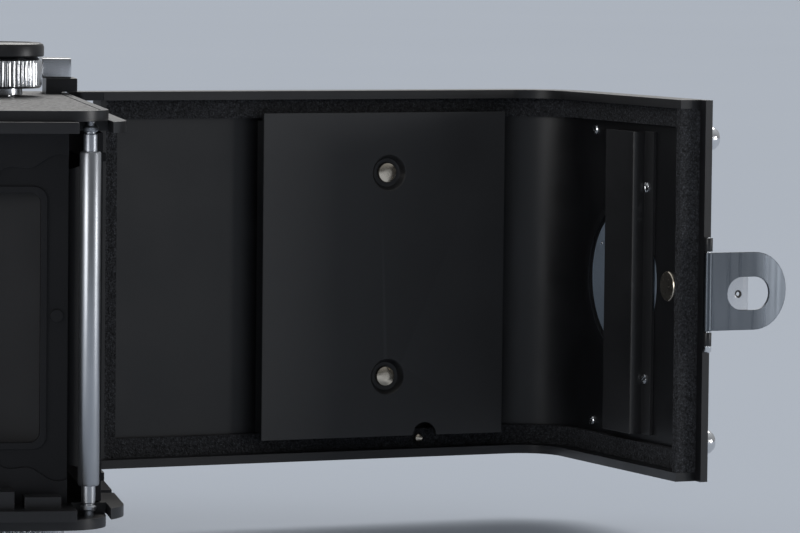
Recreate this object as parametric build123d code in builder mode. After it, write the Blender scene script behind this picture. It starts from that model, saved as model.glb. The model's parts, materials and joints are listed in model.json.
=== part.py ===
from build123d import *
import os

# Twin lens reflex roll-film camera lying on its right-hand knobs, with its L-shaped back open.
# Axes: +X out of the back, +Y out of the hood, +Z out of the side that faces up.
# Every piece is drawn with the back closed: x = 0 is the outer face of the back, y = 0 the
# underside and z = 0 the middle. The back and its pieces then swing open about the hinge.

os.makedirs("parts", exist_ok=True)

# ---- Driving dimensions (mm) ----
WIDTH = 78.0
HALF = WIDTH / 2
BODY_FRONT = -70.0
BODY_REAR = -6.8
BODY_TOP = 112.0
FRONT_WALL = 2.7
FILM_X = -7.0
TAKING_Y = 44.6
LENS_SPACING = 43.0
VIEWING_Y = TAKING_Y + LENS_SPACING
SCREEN_X = -40.5

# The back: a tray with a rim, bent through a right angle
BACK_DEPTH = 6.6
BACK_SKIN = 0.5
BACK_WALL = 1.6
BACK_BEND = 15.0
BACK_TOP = 108.6
BACK_FRONT = -67.1
BACK_LIP = -69.4
RIM = 1.8
FOAM_FACE = 3.2
FOAM_WIDTH = 4.0
FRONT_FOAM = (-67.1, -65.2)
LIP_TOP = 2.1
HINGE_X = -3.0
HINGE_Y = 112.2
OPEN_ANGLE = 106.0
HINGE_EAR_R = 3.0

# Side walls: an outer layer that meets the rim, and an inner ridge that enters the foam
RIDGE_IN = 34.9
RIDGE_OUT = 37.0
RIDGE_FACE = 3.5
RIDGE_TOP = 106.6
RIDGE_BEND = BACK_BEND - RIDGE_FACE
RIDGE_START = (-59.0, 3.5)
RIDGE_STOP = (-67.3, 9.5)
COVERING_LOW = (-68.2, 9.2)
COVERING_HIGH = (-8.6, 110.2)
COVERING_CORNER = 4.0
SIDE_SKIN = 0.4

# Film path
ROLLER_R = 2.0
ROLLER_HALF = 31.3
LOWER_ROLLER = (-10.3, 13.0)
UPPER_ROLLER = (-9.6, 75.6)
GATE_ACROSS = 56.0
GATE_ALONG = 54.0
TAKE_UP = (-21.5, 85.0)
SUPPLY = (-54.0, 15.2)
SPOOL_FLANGE_R = 12.55
SPOOL_HALF = 32.2
SPOOL_BORE_R = 2.9
SHAFT_R = 2.83

# Knobs and strap lugs
LUG_Y = 101.0
LUG_FOOT = 42.2
LUG_TOP = 46.2
KNOB_END = 53.0
FOCUS_AXIS = (-50.0, 46.0)
FOCUS_KNOB_R = 15.0
WIND_KNOB_R = 13.0
SPOOL_KNOB_R = 8.1
SPOOL_KNOB_LOW = 40.6
SPOOL_KNOB_HIGH = 46.9
SPOOL_CAP_R = 8.5
SPOOL_CAP_TOP = 49.7

# Lock on the underside
LOCK_X = -33.4
LOCK_R = 14.7
LOCK_LIP_R = 16.8
LOCK_LIP_BORE_R = 15.4
LOCK_LIP_END = -40.0
SOCKET_BODY_R = 4.4
SOCKET_R = 2.55
HASP_X = -70.3
HASP_Y = 1.5
HASP_PLATE = (-70.05, -69.45)
HASP_TIP = -17.3
HASP_R = 8.0
HASP_SLOT = (-13.0, -3.2)
HASP_SLOT_WIDTH = 6.8
HASP_SLOT_Z = -0.5
KNUCKLE_R = 0.85
HASP_PIN_R = 0.45
STUD_CATCH_Y = 13.8
FOOT_X = (-66.4, -15.5)
FOOT_Z = 31.1
FOOT_R = 2.5
FOOT_DROP = 2.4

# Lens standard
BOARD_BACK = -72.3
BOARD_FRONT = -75.5
BARREL_FRONT = -89.0
BAYONET_R = 17.0
POST_Y = (35.0, 100.0)
POST_Z = 25.0
RELEASE_AXIS = (28.5, -23.0)
RACK_AXIS = (46.0, -29.0)

# Hood
HOOD_HEIGHT = 50.0
LEAF = 0.8

RUNNING = 0.06      # radial clearance of a shaft in its hole

AXIAL = Plane.XY    # sketches that grow along the hinge and roller axes
OPENED = Pos(HINGE_X, HINGE_Y, 0) * Rot(0, 0, OPEN_ANGLE) * Pos(-HINGE_X, -HINGE_Y, 0)

finished = []


def keep(build, label, place=Pos(0, 0, 0)):
    """Name a finished piece, put it where it stands and remember it."""
    piece = place * build.part
    piece.label = label
    finished.append(piece)


def block(x0, x1, y0, y1, z0, z1, mode=Mode.ADD):
    """A box between two corners."""
    with Locations(((x0 + x1) / 2, (y0 + y1) / 2, (z0 + z1) / 2)):
        Box(abs(x1 - x0), abs(y1 - y0), abs(z1 - z0), mode=mode)


def drum_z(centre, z0, z1, radius, mode=Mode.ADD):
    """A cylinder along Z about the point (x, y)."""
    with Locations((centre[0], centre[1], (z0 + z1) / 2)):
        Cylinder(radius, abs(z1 - z0), mode=mode)


def drum_x(y, z, x0, x1, radius, mode=Mode.ADD):
    """A cylinder along X."""
    with Locations(Location(((x0 + x1) / 2, y, z), (0, 90, 0))):
        Cylinder(radius, abs(x1 - x0), mode=mode)


def drum_y(x, z, y0, y1, radius, mode=Mode.ADD):
    """A cylinder along Y."""
    with Locations(Location((x, (y0 + y1) / 2, z), (90, 0, 0))):
        Cylinder(radius, abs(y1 - y0), mode=mode)


def back_outline(near, far, front, top):
    """Section of the back between two depths below its outer face."""
    bend = (-BACK_BEND, BACK_BEND)
    Line((-far, top), (-near, top))
    Line((-near, top), (-near, BACK_BEND))
    CenterArc(bend, BACK_BEND - near, 0, -90)
    Line((-BACK_BEND, near), (front, near))
    Line((front, near), (front, far))
    Line((front, far), (-BACK_BEND, far))
    CenterArc(bend, BACK_BEND - far, -90, 90)
    Line((-far, BACK_BEND), (-far, top))


def covering_outline(margin):
    """Outline of a side covering, with its lower rear corner rounded, grown by a margin."""
    low_x, low_y = COVERING_LOW[0] - margin, COVERING_LOW[1] - margin
    high_x, high_y = COVERING_HIGH[0] + margin, COVERING_HIGH[1] + margin
    corner = COVERING_CORNER + margin
    Line((low_x, high_y), (high_x, high_y))
    Line((high_x, high_y), (high_x, low_y + corner))
    CenterArc((high_x - corner, low_y + corner), corner, 0, -90)
    Line((high_x - corner, low_y), (low_x, low_y))
    Line((low_x, low_y), (low_x, high_y))


# ================= Body =================

with BuildPart() as body_shell:
    # inner layer of a side wall, with the ridge that enters the foam of the back
    with BuildSketch(AXIAL.offset(RIDGE_IN)):
        with BuildLine():
            Polyline(
                (BODY_FRONT, BODY_TOP), (-7.0, BODY_TOP), (-7.0, RIDGE_TOP),
                (-RIDGE_FACE, RIDGE_TOP), (-RIDGE_FACE, RIDGE_FACE + RIDGE_BEND),
            )
            CenterArc((-RIDGE_FACE - RIDGE_BEND, RIDGE_FACE + RIDGE_BEND), RIDGE_BEND, 0, -90)
            Polyline(
                (-RIDGE_FACE - RIDGE_BEND, RIDGE_FACE), RIDGE_START, RIDGE_STOP,
                (BODY_FRONT, RIDGE_STOP[1]), (BODY_FRONT, BODY_TOP),
            )
        make_face()
    extrude(amount=RIDGE_OUT - RIDGE_IN)
    # outer layer of a side wall, which meets the rim of the back
    with BuildSketch(AXIAL.offset(RIDGE_OUT)):
        with BuildLine():
            Polyline(
                (BODY_FRONT, BODY_TOP), (-7.0, BODY_TOP), (BODY_REAR, BACK_TOP + 0.4),
                (BODY_REAR, BACK_BEND),
            )
            CenterArc((-BACK_BEND, BACK_BEND), BACK_BEND + BODY_REAR, 0, -90)
            Polyline(
                (-BACK_BEND, -BODY_REAR), (BODY_FRONT, -BODY_REAR), (BODY_FRONT, BODY_TOP),
            )
        make_face()
    extrude(amount=HALF - RIDGE_OUT)
    # notch that leaves the roller's end open to view
    block(-13.2, -6.6, 3.0, 17.0, RIDGE_IN - 1, RIDGE_OUT, Mode.SUBTRACT)
    mirror(about=Plane.XY)
    # front, top and rear walls and the bar below the hinge
    block(BODY_FRONT, BODY_FRONT + FRONT_WALL, 2.9, BODY_TOP, -HALF, HALF)
    block(BODY_FRONT, -7.0, 110.0, BODY_TOP, -HALF, HALF)
    block(-9.0, -7.0, 104.8, BODY_TOP, -RIDGE_IN, RIDGE_IN)
    block(-7.0, -RIDGE_FACE, 104.8, RIDGE_TOP, -RIDGE_IN, RIDGE_IN)
    # recesses for the side coverings
    for base in (-HALF - 1, HALF - SIDE_SKIN):
        with BuildSketch(AXIAL.offset(base)):
            with BuildLine():
                covering_outline(0.2)
            make_face()
        extrude(amount=SIDE_SKIN + 1, mode=Mode.SUBTRACT)
    # raised pad on the front, behind the lens standard
    block(BODY_FRONT - 1.4, BODY_FRONT, 24.0, 107.0, -32.0, 32.0)
    # sloping shelf that carries the mirror
    with BuildSketch(AXIAL.offset(-RIDGE_IN)):
        with Locations(Location((SCREEN_X - 2.8, VIEWING_Y - 2.8, 0), (0, 0, 45))):
            with Locations((0, -1.2)):
                Rectangle(66.0, 1.0)
    extrude(amount=2 * RIDGE_IN)
    # knuckles of the back's hinge
    for low, high in ((-30.0, -14.3), (14.3, 30.0)):
        block(-9.0, HINGE_X, 110.4, 113.0, low, high)
        drum_z((HINGE_X, HINGE_Y), low, high, 2.2)
    drum_z((HINGE_X, HINGE_Y), -31.0, 31.0, 1.0, Mode.SUBTRACT)
    # openings for the screen, the two lenses and the standard's guide posts
    block(-66.5, -14.5, 109.0, 113.0, -28.0, 28.0, Mode.SUBTRACT)
    drum_x(TAKING_Y, 0, -73.0, -60.0, 13.0, Mode.SUBTRACT)
    drum_x(VIEWING_Y, 0, -73.0, -60.0, 15.0, Mode.SUBTRACT)
    for y in POST_Y:
        for z in (-POST_Z, POST_Z):
            drum_x(y, z, -73.0, -66.0, 2.0 + RUNNING, Mode.SUBTRACT)
    drum_x(*RACK_AXIS, -73.0, -66.0, 1.6, Mode.SUBTRACT)
    # bearings in the side walls
    for centre in (LOWER_ROLLER, UPPER_ROLLER):
        drum_z(centre, -38.2, 38.2, 1.0 + RUNNING, Mode.SUBTRACT)
    drum_z(TAKE_UP, -HALF, HALF, SHAFT_R + RUNNING, Mode.SUBTRACT)
    drum_z(SUPPLY, 0, HALF, SHAFT_R + RUNNING, Mode.SUBTRACT)
    drum_z(FOCUS_AXIS, -HALF, 0, 3.0 + RUNNING, Mode.SUBTRACT)
    # low bosses in the chamber's right-hand wall
    block(-31.0, -24.6, 6.6, 13.4, -RIDGE_IN, -31.6)
    block(-22.6, -15.8, 8.0, 13.4, -RIDGE_IN, -32.8)
    # fixed peg for the full spool on the right
    drum_z(SUPPLY, -RIDGE_IN, -28.0, SHAFT_R)
    # notch for the back's locating pin
    block(-8.0, -3.0, 32.6, 37.4, -RIDGE_OUT, -RIDGE_IN, Mode.SUBTRACT)
keep(body_shell, "body_shell")


def covering_holes(centres, middle_z):
    """Clear holes round the shafts and room for the strap lug's foot."""
    for centre in centres:
        drum_z(centre, middle_z - 1, middle_z + 1, 4.5, Mode.SUBTRACT)
    block(-12.0, -5.0, LUG_Y - 4.8, LUG_Y + 4.8, middle_z - 1, middle_z + 1, Mode.SUBTRACT)


with BuildPart() as left_covering:
    with BuildSketch(AXIAL.offset(HALF - SIDE_SKIN)):
        with BuildLine():
            covering_outline(0.0)
        make_face()
    extrude(amount=SIDE_SKIN)
    covering_holes((TAKE_UP, SUPPLY), HALF)
    block(-56.6, -33.4, 55.4, 80.6, 38.0, 40.0, Mode.SUBTRACT)
keep(left_covering, "left_covering")

with BuildPart() as right_covering:
    with BuildSketch(AXIAL.offset(-HALF)):
        with BuildLine():
            covering_outline(0.0)
        make_face()
    extrude(amount=SIDE_SKIN)
    covering_holes((TAKE_UP, FOCUS_AXIS), -HALF)
keep(right_covering, "right_covering")

with BuildPart() as film_gate:
    block(-9.4, -7.6, 16.4, 72.8, -34.6, 34.6)
    for z in (-30.0, 30.0):
        block(-7.6, FILM_X, 16.4, 72.8, z - 0.8, z + 0.8)
    half_along = GATE_ALONG / 2
    half_across = GATE_ACROSS / 2
    block(-10, -6, TAKING_Y - half_along, TAKING_Y + half_along, -half_across, half_across,
          Mode.SUBTRACT)
keep(film_gate, "film_gate")

with BuildPart() as light_box:
    for wall, mode in ((1.0, Mode.ADD), (0.0, Mode.SUBTRACT)):
        with BuildSketch(Plane.YZ.offset(-67.2)):
            with Locations((TAKING_Y, 0)):
                Rectangle(22 + 2 * wall, 22 + 2 * wall)
        with BuildSketch(Plane.YZ.offset(-9.5)):
            with Locations((TAKING_Y, 0)):
                Rectangle(GATE_ALONG + 0.2 + 2 * wall, GATE_ACROSS + 2 * wall)
        loft(mode=mode)
keep(light_box, "light_box")

# frame that closes the lower chamber below the light box, with a window and wavy edge pads
BAFFLE_X = (-40.0, -14.1)
BAFFLE_Y = (15.5, 16.3)
BAFFLE_PAD_Y = 14.9
BAFFLE_HALF = RIDGE_IN
WINDOW_X = (-37.0, -19.3)
WINDOW_HALF = 23.4

with BuildPart() as chamber_baffle:
    block(*BAFFLE_X, *BAFFLE_Y, -BAFFLE_HALF, BAFFLE_HALF)
    with BuildSketch(Plane.XZ.offset(-BAFFLE_Y[0] + 0.6)):
        with Locations(((WINDOW_X[0] + WINDOW_X[1]) / 2, 0)):
            RectangleRounded(WINDOW_X[1] - WINDOW_X[0] + 2.4, 2 * WINDOW_HALF + 2.4, 2.6)
            RectangleRounded(WINDOW_X[1] - WINDOW_X[0], 2 * WINDOW_HALF, 2.0,
                             mode=Mode.SUBTRACT)
    extrude(amount=-0.7)
    with BuildSketch(Plane.XZ.offset(-BAFFLE_PAD_Y)):
        for side in (-1, 1):
            with BuildLine():
                Spline((-27.5, side * 26.9), (-24.2, side * 28.2), (-21.4, side * 28.0),
                       (-18.2, side * 29.8), (BAFFLE_X[1], side * 30.2))
                Polyline((BAFFLE_X[1], side * 30.2), (BAFFLE_X[1], side * BAFFLE_HALF),
                         (BAFFLE_X[0], side * BAFFLE_HALF), (BAFFLE_X[0], side * 26.9),
                         (-27.5, side * 26.9))
            make_face()
    extrude(amount=-0.7)
    with BuildSketch(Plane.XZ.offset(-BAFFLE_Y[0] + 1)):
        with Locations(((WINDOW_X[0] + WINDOW_X[1]) / 2, 0)):
            RectangleRounded(WINDOW_X[1] - WINDOW_X[0], 2 * WINDOW_HALF, 2.0)
    extrude(amount=-3.0, mode=Mode.SUBTRACT)
    # pin in the middle of the rear band
    drum_y(-16.2, 0.4, BAFFLE_PAD_Y, BAFFLE_Y[0], 1.2)
keep(chamber_baffle, "chamber_baffle")

with BuildPart() as mirror_glass:
    with BuildSketch(AXIAL.offset(-27.0)):
        with Locations(Location((SCREEN_X - 2.8, VIEWING_Y - 2.8, 0), (0, 0, 45))):
            Rectangle(62.0, 1.4)
    extrude(amount=54.0)
keep(mirror_glass, "mirror_glass")

with BuildPart() as focusing_screen:
    block(-67.0, -14.0, BODY_TOP + 0.05, BODY_TOP + 1.65, -28.5, 28.5)
keep(focusing_screen, "focusing_screen")

with BuildPart() as hinge_pin:
    drum_z((HINGE_X, HINGE_Y), -30.6, 30.6, 1.0)
keep(hinge_pin, "hinge_pin")

with BuildPart() as latch_stud:
    drum_x(STUD_CATCH_Y, HASP_SLOT_Z, -72.0, BODY_FRONT, 1.7)
    drum_x(STUD_CATCH_Y, HASP_SLOT_Z, -72.7, -72.0, 1.9)
keep(latch_stud, "latch_stud")

with BuildPart() as lug_feet:
    for side in (-1, 1):
        block(-11.6, -8.4, LUG_Y - 4.6, LUG_Y + 4.6, side * (HALF - SIDE_SKIN), side * LUG_FOOT)
        block(-8.4, -5.2, LUG_Y - 4.6, LUG_Y + 4.6, side * (HALF + 0.4), side * LUG_FOOT)
keep(lug_feet, "lug_feet")

with BuildPart() as strap_lugs:
    for side in (-1, 1):
        block(-12.4, -6.4, LUG_Y - 4.0, LUG_Y + 4.0, side * LUG_FOOT, side * LUG_TOP)
        block(-13.0, -6.0, LUG_Y - 2.8, LUG_Y + 2.8, side * (LUG_FOOT + 1.0),
              side * (LUG_TOP - 1.0), Mode.SUBTRACT)
keep(strap_lugs, "strap_lugs")

with BuildPart() as accessory_shoe:
    block(-56.4, -33.6, 59.0, 77.0, 38.6, 40.4)
    block(-56.4, -54.4, 59.0, 77.0, 40.4, 43.6)
    block(-35.6, -33.6, 59.0, 77.0, 40.4, 43.6)
    block(-54.4, -51.4, 59.0, 77.0, 42.5, 43.6)
    block(-38.6, -35.6, 59.0, 77.0, 42.5, 43.6)
    block(-54.4, -35.6, 75.6, 77.0, 40.4, 41.4)
keep(accessory_shoe, "accessory_shoe")

# ================= Film path =================


def roller(centre):
    """Film roller with a neck and a pivot at each end."""
    drum_z(centre, -ROLLER_HALF, ROLLER_HALF, ROLLER_R)
    for side in (-1, 1):
        drum_z(centre, side * ROLLER_HALF, side * 34.6, 1.3)
        drum_z(centre, side * 34.6, side * 38.0, 1.0)


with BuildPart() as lower_roller:
    roller(LOWER_ROLLER)
    for side in (-1, 1):
        drum_z(LOWER_ROLLER, side * 34.9, side * 36.0, 1.5)
keep(lower_roller, "lower_roller")

with BuildPart() as upper_roller:
    roller(UPPER_ROLLER)
keep(upper_roller, "upper_roller")

with BuildPart() as take_up_spool:
    drum_z(TAKE_UP, -SPOOL_HALF, SPOOL_HALF, 6.0)
    for side in (-1, 1):
        drum_z(TAKE_UP, side * (SPOOL_HALF - 1.0), side * SPOOL_HALF, SPOOL_FLANGE_R)
    drum_z(TAKE_UP, -SPOOL_HALF - 1, SPOOL_HALF + 1, SPOOL_BORE_R, Mode.SUBTRACT)
    block(TAKE_UP[0] - 1.0, TAKE_UP[0] + 1.0, TAKE_UP[1] - 9.0, TAKE_UP[1] + 9.0, -12.0, 12.0,
          Mode.SUBTRACT)
keep(take_up_spool, "take_up_spool")

with BuildPart() as wind_knob:
    with BuildSketch(AXIAL.offset(-HALF - 0.4)):
        with Locations(TAKE_UP):
            Circle(8.0)
    extrude(amount=-1.6)
    drum_z(TAKE_UP, -HALF - 2.0, -KNOB_END, WIND_KNOB_R)
    chamfer(wind_knob.edges().filter_by(GeomType.CIRCLE).group_by(Axis.Z)[0], 0.8)
    drum_z(TAKE_UP, -HALF - 0.4, -26.0, SHAFT_R)
keep(wind_knob, "wind_knob")


def spool_knob(centre, shaft_end):
    """Pull-out knob with the peg that holds one end of a spool."""
    drum_z(centre, shaft_end, SPOOL_KNOB_LOW, SHAFT_R)
    drum_z(centre, HALF + 0.2, SPOOL_KNOB_LOW, 4.2)
    drum_z(centre, SPOOL_KNOB_LOW, SPOOL_KNOB_HIGH, SPOOL_KNOB_R)


with BuildPart() as upper_spool_knob:
    spool_knob(TAKE_UP, 26.0)
keep(upper_spool_knob, "upper_spool_knob")

with BuildPart() as lower_spool_knob:
    spool_knob(SUPPLY, 28.0)
keep(lower_spool_knob, "lower_spool_knob")

for label, centre in (("upper_knob_cap", TAKE_UP), ("lower_knob_cap", SUPPLY)):
    with BuildPart() as knob_cap:
        drum_z(centre, SPOOL_KNOB_HIGH, SPOOL_CAP_TOP, SPOOL_CAP_R)
        fillet(knob_cap.edges().filter_by(GeomType.CIRCLE).group_by(Axis.Z)[-1], 1.0)
    keep(knob_cap, label)

# ================= Lens standard =================

with BuildPart() as lens_board:
    with BuildSketch(Plane.YZ.offset(BOARD_FRONT)):
        with Locations((64.75, 0)):
            RectangleRounded(86.5, 60.0, 12.0)
    extrude(amount=BOARD_BACK - BOARD_FRONT)
    drum_x(TAKING_Y, 0, -77.0, -70.0, 13.0, Mode.SUBTRACT)
    drum_x(VIEWING_Y, 0, -77.0, -70.0, 13.0, Mode.SUBTRACT)
    drum_x(*RELEASE_AXIS, -77.0, -70.0, 2.6, Mode.SUBTRACT)
keep(lens_board, "lens_board")

with BuildPart() as board_covering:
    with BuildSketch(Plane.YZ.offset(BOARD_FRONT - 0.4)):
        with Locations((64.75, 0)):
            RectangleRounded(82.5, 56.0, 10.0)
        with Locations((TAKING_Y, 0)):
            Circle(21.6, mode=Mode.SUBTRACT)
        with Locations((VIEWING_Y, 0)):
            Circle(18.6, mode=Mode.SUBTRACT)
        with Locations(RELEASE_AXIS):
            Circle(4.2, mode=Mode.SUBTRACT)
    extrude(amount=0.4)
keep(board_covering, "board_covering")

with BuildPart() as guide_posts:
    for y in POST_Y:
        for z in (-POST_Z, POST_Z):
            drum_x(y, z, BOARD_BACK, -58.0, 2.0)
    # rack rod that the focus knob drives
    drum_x(*RACK_AXIS, BOARD_BACK, -40.0, 1.2)
keep(guide_posts, "guide_posts")


def lens_tube(y, outer, bore, x0, x1, mode=Mode.ADD):
    """A tube about a lens axis."""
    drum_x(y, 0, x0, x1, outer, mode)
    drum_x(y, 0, x0 - 1, x1 + 1, bore, Mode.SUBTRACT)


with BuildPart() as viewing_barrel:
    drum_x(VIEWING_Y, 0, BARREL_FRONT, BOARD_FRONT, 15.5)
    drum_x(VIEWING_Y, 0, -79.5, BOARD_FRONT, 18.2)
    drum_x(VIEWING_Y, 0, -76.0, -68.8, 12.95)
    drum_x(VIEWING_Y, 0, -90.0, -68.0, 11.6, Mode.SUBTRACT)
    with Locations(Location((BARREL_FRONT + 2.5, VIEWING_Y, 0), (0, 90, 0))):
        Cone(14.5, 11.6, 5.02, mode=Mode.SUBTRACT)
keep(viewing_barrel, "viewing_barrel")

with BuildPart() as shutter_housing:
    drum_x(TAKING_Y, 0, -81.0, BOARD_FRONT, 20.6)
    drum_x(TAKING_Y, 0, -76.0, -68.8, 12.95)
    drum_x(TAKING_Y, 0, -82.0, -68.0, 11.6, Mode.SUBTRACT)
keep(shutter_housing, "shutter_housing")

with BuildPart() as taking_barrel:
    drum_x(TAKING_Y, 0, BARREL_FRONT, -81.0, 15.5)
    drum_x(TAKING_Y, 0, -90.0, -80.0, 11.6, Mode.SUBTRACT)
    with Locations(Location((BARREL_FRONT + 2.0, TAKING_Y, 0), (0, 90, 0))):
        Cone(14.5, 11.6, 4.02, mode=Mode.SUBTRACT)
keep(taking_barrel, "taking_barrel")

with BuildPart() as filter_bayonets:
    for y in (TAKING_Y, VIEWING_Y):
        drum_x(y, 0, BARREL_FRONT, BARREL_FRONT + 2.6, BAYONET_R)
        drum_x(y, 0, -90.0, -86.0, 15.5, Mode.SUBTRACT)
keep(filter_bayonets, "filter_bayonets")


with BuildPart() as taking_glass:
    drum_x(TAKING_Y, 0, -85.4, -82.4, 11.55)
    drum_x(TAKING_Y, 0, -73.0, -70.6, 11.55)
keep(taking_glass, "taking_glass")

with BuildPart() as viewing_glass:
    drum_x(VIEWING_Y, 0, -84.4, -81.0, 11.55)
    drum_x(VIEWING_Y, 0, -73.0, -70.6, 11.55)
keep(viewing_glass, "viewing_glass")

with BuildPart() as shutter_blades:
    drum_x(TAKING_Y, 0, -77.4, -77.1, 11.5)
    with BuildSketch(Plane.YZ.offset(-79.0)):
        with Locations((TAKING_Y, 0)):
            Circle(11.5)
            RegularPolygon(4.0, 5, mode=Mode.SUBTRACT)
    extrude(amount=0.3)
keep(shutter_blades, "shutter_blades")


def control_ring(x0, x1, angle, reach, width):
    """Ring round the shutter housing with one finger tab at an angle from +Y towards +Z."""
    middle = (x0 + x1) / 2
    lens_tube(TAKING_Y, 21.5, 20.65, x0, x1)
    with Locations(Location((middle, TAKING_Y, 0), (angle, 0, 0))):
        with Locations((0, (21.1 + reach) / 2, 0)):
            Box(x1 - x0, reach - 21.1, width)


with BuildPart() as aperture_ring:
    control_ring(-78.0, -76.8, 65.0, 26.0, 3.0)
keep(aperture_ring, "aperture_ring")

with BuildPart() as speed_ring:
    control_ring(-79.4, -78.2, -65.0, 26.0, 3.0)
keep(speed_ring, "speed_ring")

with BuildPart() as cocking_lever:
    control_ring(-80.8, -79.6, 160.0, 25.0, 4.0)
keep(cocking_lever, "cocking_lever")

with BuildPart() as release_button:
    drum_x(*RELEASE_AXIS, -79.0, -73.2, 2.54)
    drum_x(*RELEASE_AXIS, -81.0, -79.0, 3.4)
    drum_x(*RELEASE_AXIS, -82.0, -76.0, 1.3, Mode.SUBTRACT)
keep(release_button, "release_button")

with BuildPart() as board_screws:
    for y in (24.6, 105.0):
        for z in (-19.0, 19.0):
            drum_x(y, z, BOARD_FRONT - 1.0, BOARD_FRONT - 0.4, 1.5)
keep(board_screws, "board_screws")

# ================= Focusing =================

with BuildPart() as focus_knob:
    drum_z(FOCUS_AXIS, -HALF - 2.0, -KNOB_END, FOCUS_KNOB_R)
    chamfer(focus_knob.edges().filter_by(GeomType.CIRCLE).group_by(Axis.Z)[0], 0.8)
    drum_z(FOCUS_AXIS, -HALF - 0.4, -HALF - 2.0, 9.0)
    drum_z(FOCUS_AXIS, -HALF - 0.4, -32.0, 3.0)
keep(focus_knob, "focus_knob")

# ================= Hood =================

# hinge lines of the four leaves, each at its own level so that they fold in turn
LEFT_HINGE = (117.2, 31.9)
RIGHT_HINGE = (118.4, -31.9)
REAR_HINGE = (-13.2, 119.8)
FRONT_HINGE = (-66.6, 124.4)
LENS_HINGE = (-65.6, 166.0)
SIDE_LEAF_X = (-63.4, -15.0)
LEAF_HALF = 30.6
HOOD_TOP = 116.2
KNUCKLE = 0.7
PIN_R = 0.35
WALL_GAP = 0.2

with BuildPart() as hood_base:
    block(-69.5, -10.0, BODY_TOP, HOOD_TOP, -34.5, 34.5)
    block(-64.5, -16.5, BODY_TOP - 1, HOOD_TOP + 2, -28.0, 28.0, Mode.SUBTRACT)
    block(-67.2, -13.8, BODY_TOP, BODY_TOP + 1.8, -28.7, 28.7, Mode.SUBTRACT)
    # ears and pins of the side leaves
    for y, z in (LEFT_HINGE, RIGHT_HINGE):
        for edge, outward in ((SIDE_LEAF_X[0], -1), (SIDE_LEAF_X[1], 1)):
            block(edge + outward * 0.3, edge + outward * 1.1, HOOD_TOP, y + KNUCKLE,
                  z - KNUCKLE, z + KNUCKLE)
            drum_x(y, z, edge - outward * 2.0, edge + outward * 0.4, PIN_R)
    # ears and pins of the rear and front leaves
    for x, y in (REAR_HINGE, FRONT_HINGE):
        for side in (-1, 1):
            block(x - KNUCKLE, x + KNUCKLE, HOOD_TOP, y + KNUCKLE,
                  side * (LEAF_HALF + 0.3), side * (LEAF_HALF + 1.3))
            drum_z((x, y), side * (LEAF_HALF - 2.0), side * (LEAF_HALF + 0.4), PIN_R)
    # low walls that close the space under the raised hinge lines
    for x, y in (REAR_HINGE, FRONT_HINGE):
        block(x - LEAF / 2, x + LEAF / 2, HOOD_TOP, y - KNUCKLE - WALL_GAP, -LEAF_HALF - 0.3,
              LEAF_HALF + 0.3)
    block(SIDE_LEAF_X[0] - 0.3, SIDE_LEAF_X[1] + 0.3, HOOD_TOP,
          RIGHT_HINGE[0] - KNUCKLE - WALL_GAP, RIGHT_HINGE[1] - LEAF / 2, RIGHT_HINGE[1] + LEAF / 2)
keep(hood_base, "hood_base")


def side_leaf(y, z):
    """Side leaf of the hood, standing on its knuckle at (y, z)."""
    block(*SIDE_LEAF_X, y, y - 0.4 + HOOD_HEIGHT, z - LEAF / 2, z + LEAF / 2)
    drum_x(y, z, *SIDE_LEAF_X, KNUCKLE)
    drum_x(y, z, SIDE_LEAF_X[0] - 1, SIDE_LEAF_X[1] + 1, PIN_R + 0.05, Mode.SUBTRACT)


def end_leaf(x, y):
    """Front or rear leaf of the hood, standing on its knuckle at (x, y)."""
    block(x - LEAF / 2, x + LEAF / 2, y, y - 0.4 + HOOD_HEIGHT, -LEAF_HALF, LEAF_HALF)
    drum_z((x, y), -LEAF_HALF, LEAF_HALF, KNUCKLE - 0.1)
    drum_z((x, y), -LEAF_HALF - 1, LEAF_HALF + 1, PIN_R + 0.05, Mode.SUBTRACT)


with BuildPart() as hood_left:
    side_leaf(*LEFT_HINGE)
keep(hood_left, "hood_left")

with BuildPart() as hood_right:
    side_leaf(*RIGHT_HINGE)
keep(hood_right, "hood_right")

with BuildPart() as hood_rear:
    end_leaf(*REAR_HINGE)
keep(hood_rear, "hood_rear")

with BuildPart() as hood_front:
    end_leaf(*FRONT_HINGE)
    # ears and pins of the magnifier
    for side in (-1, 1):
        block(FRONT_HINGE[0] + LEAF / 2, LENS_HINGE[0] + 0.6, LENS_HINGE[1] - 0.6,
              LENS_HINGE[1] + 0.6, side * 15.3, side * 16.3)
        drum_z(LENS_HINGE, side * 13.6, side * 15.4, 0.2)
keep(hood_front, "hood_front")

MAGNIFIER_Y = 150.0

with BuildPart() as magnifier_arm:
    block(LENS_HINGE[0] - 0.35, LENS_HINGE[0] + 0.4, 136.0, LENS_HINGE[1], -15.0, 15.0)
    drum_z(LENS_HINGE, -15.0, 15.0, 0.35)
    drum_z(LENS_HINGE, -16.0, 16.0, 0.24, Mode.SUBTRACT)
    drum_x(MAGNIFIER_Y, 0, -65.4, -64.0, 13.4)
    drum_x(MAGNIFIER_Y, 0, -67.0, -63.0, 11.5, Mode.SUBTRACT)
keep(magnifier_arm, "magnifier_arm")

with BuildPart() as magnifier_lens:
    drum_x(MAGNIFIER_Y, 0, -65.8, -64.2, 11.45)
keep(magnifier_lens, "magnifier_lens")

# ================= Back =================

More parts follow.
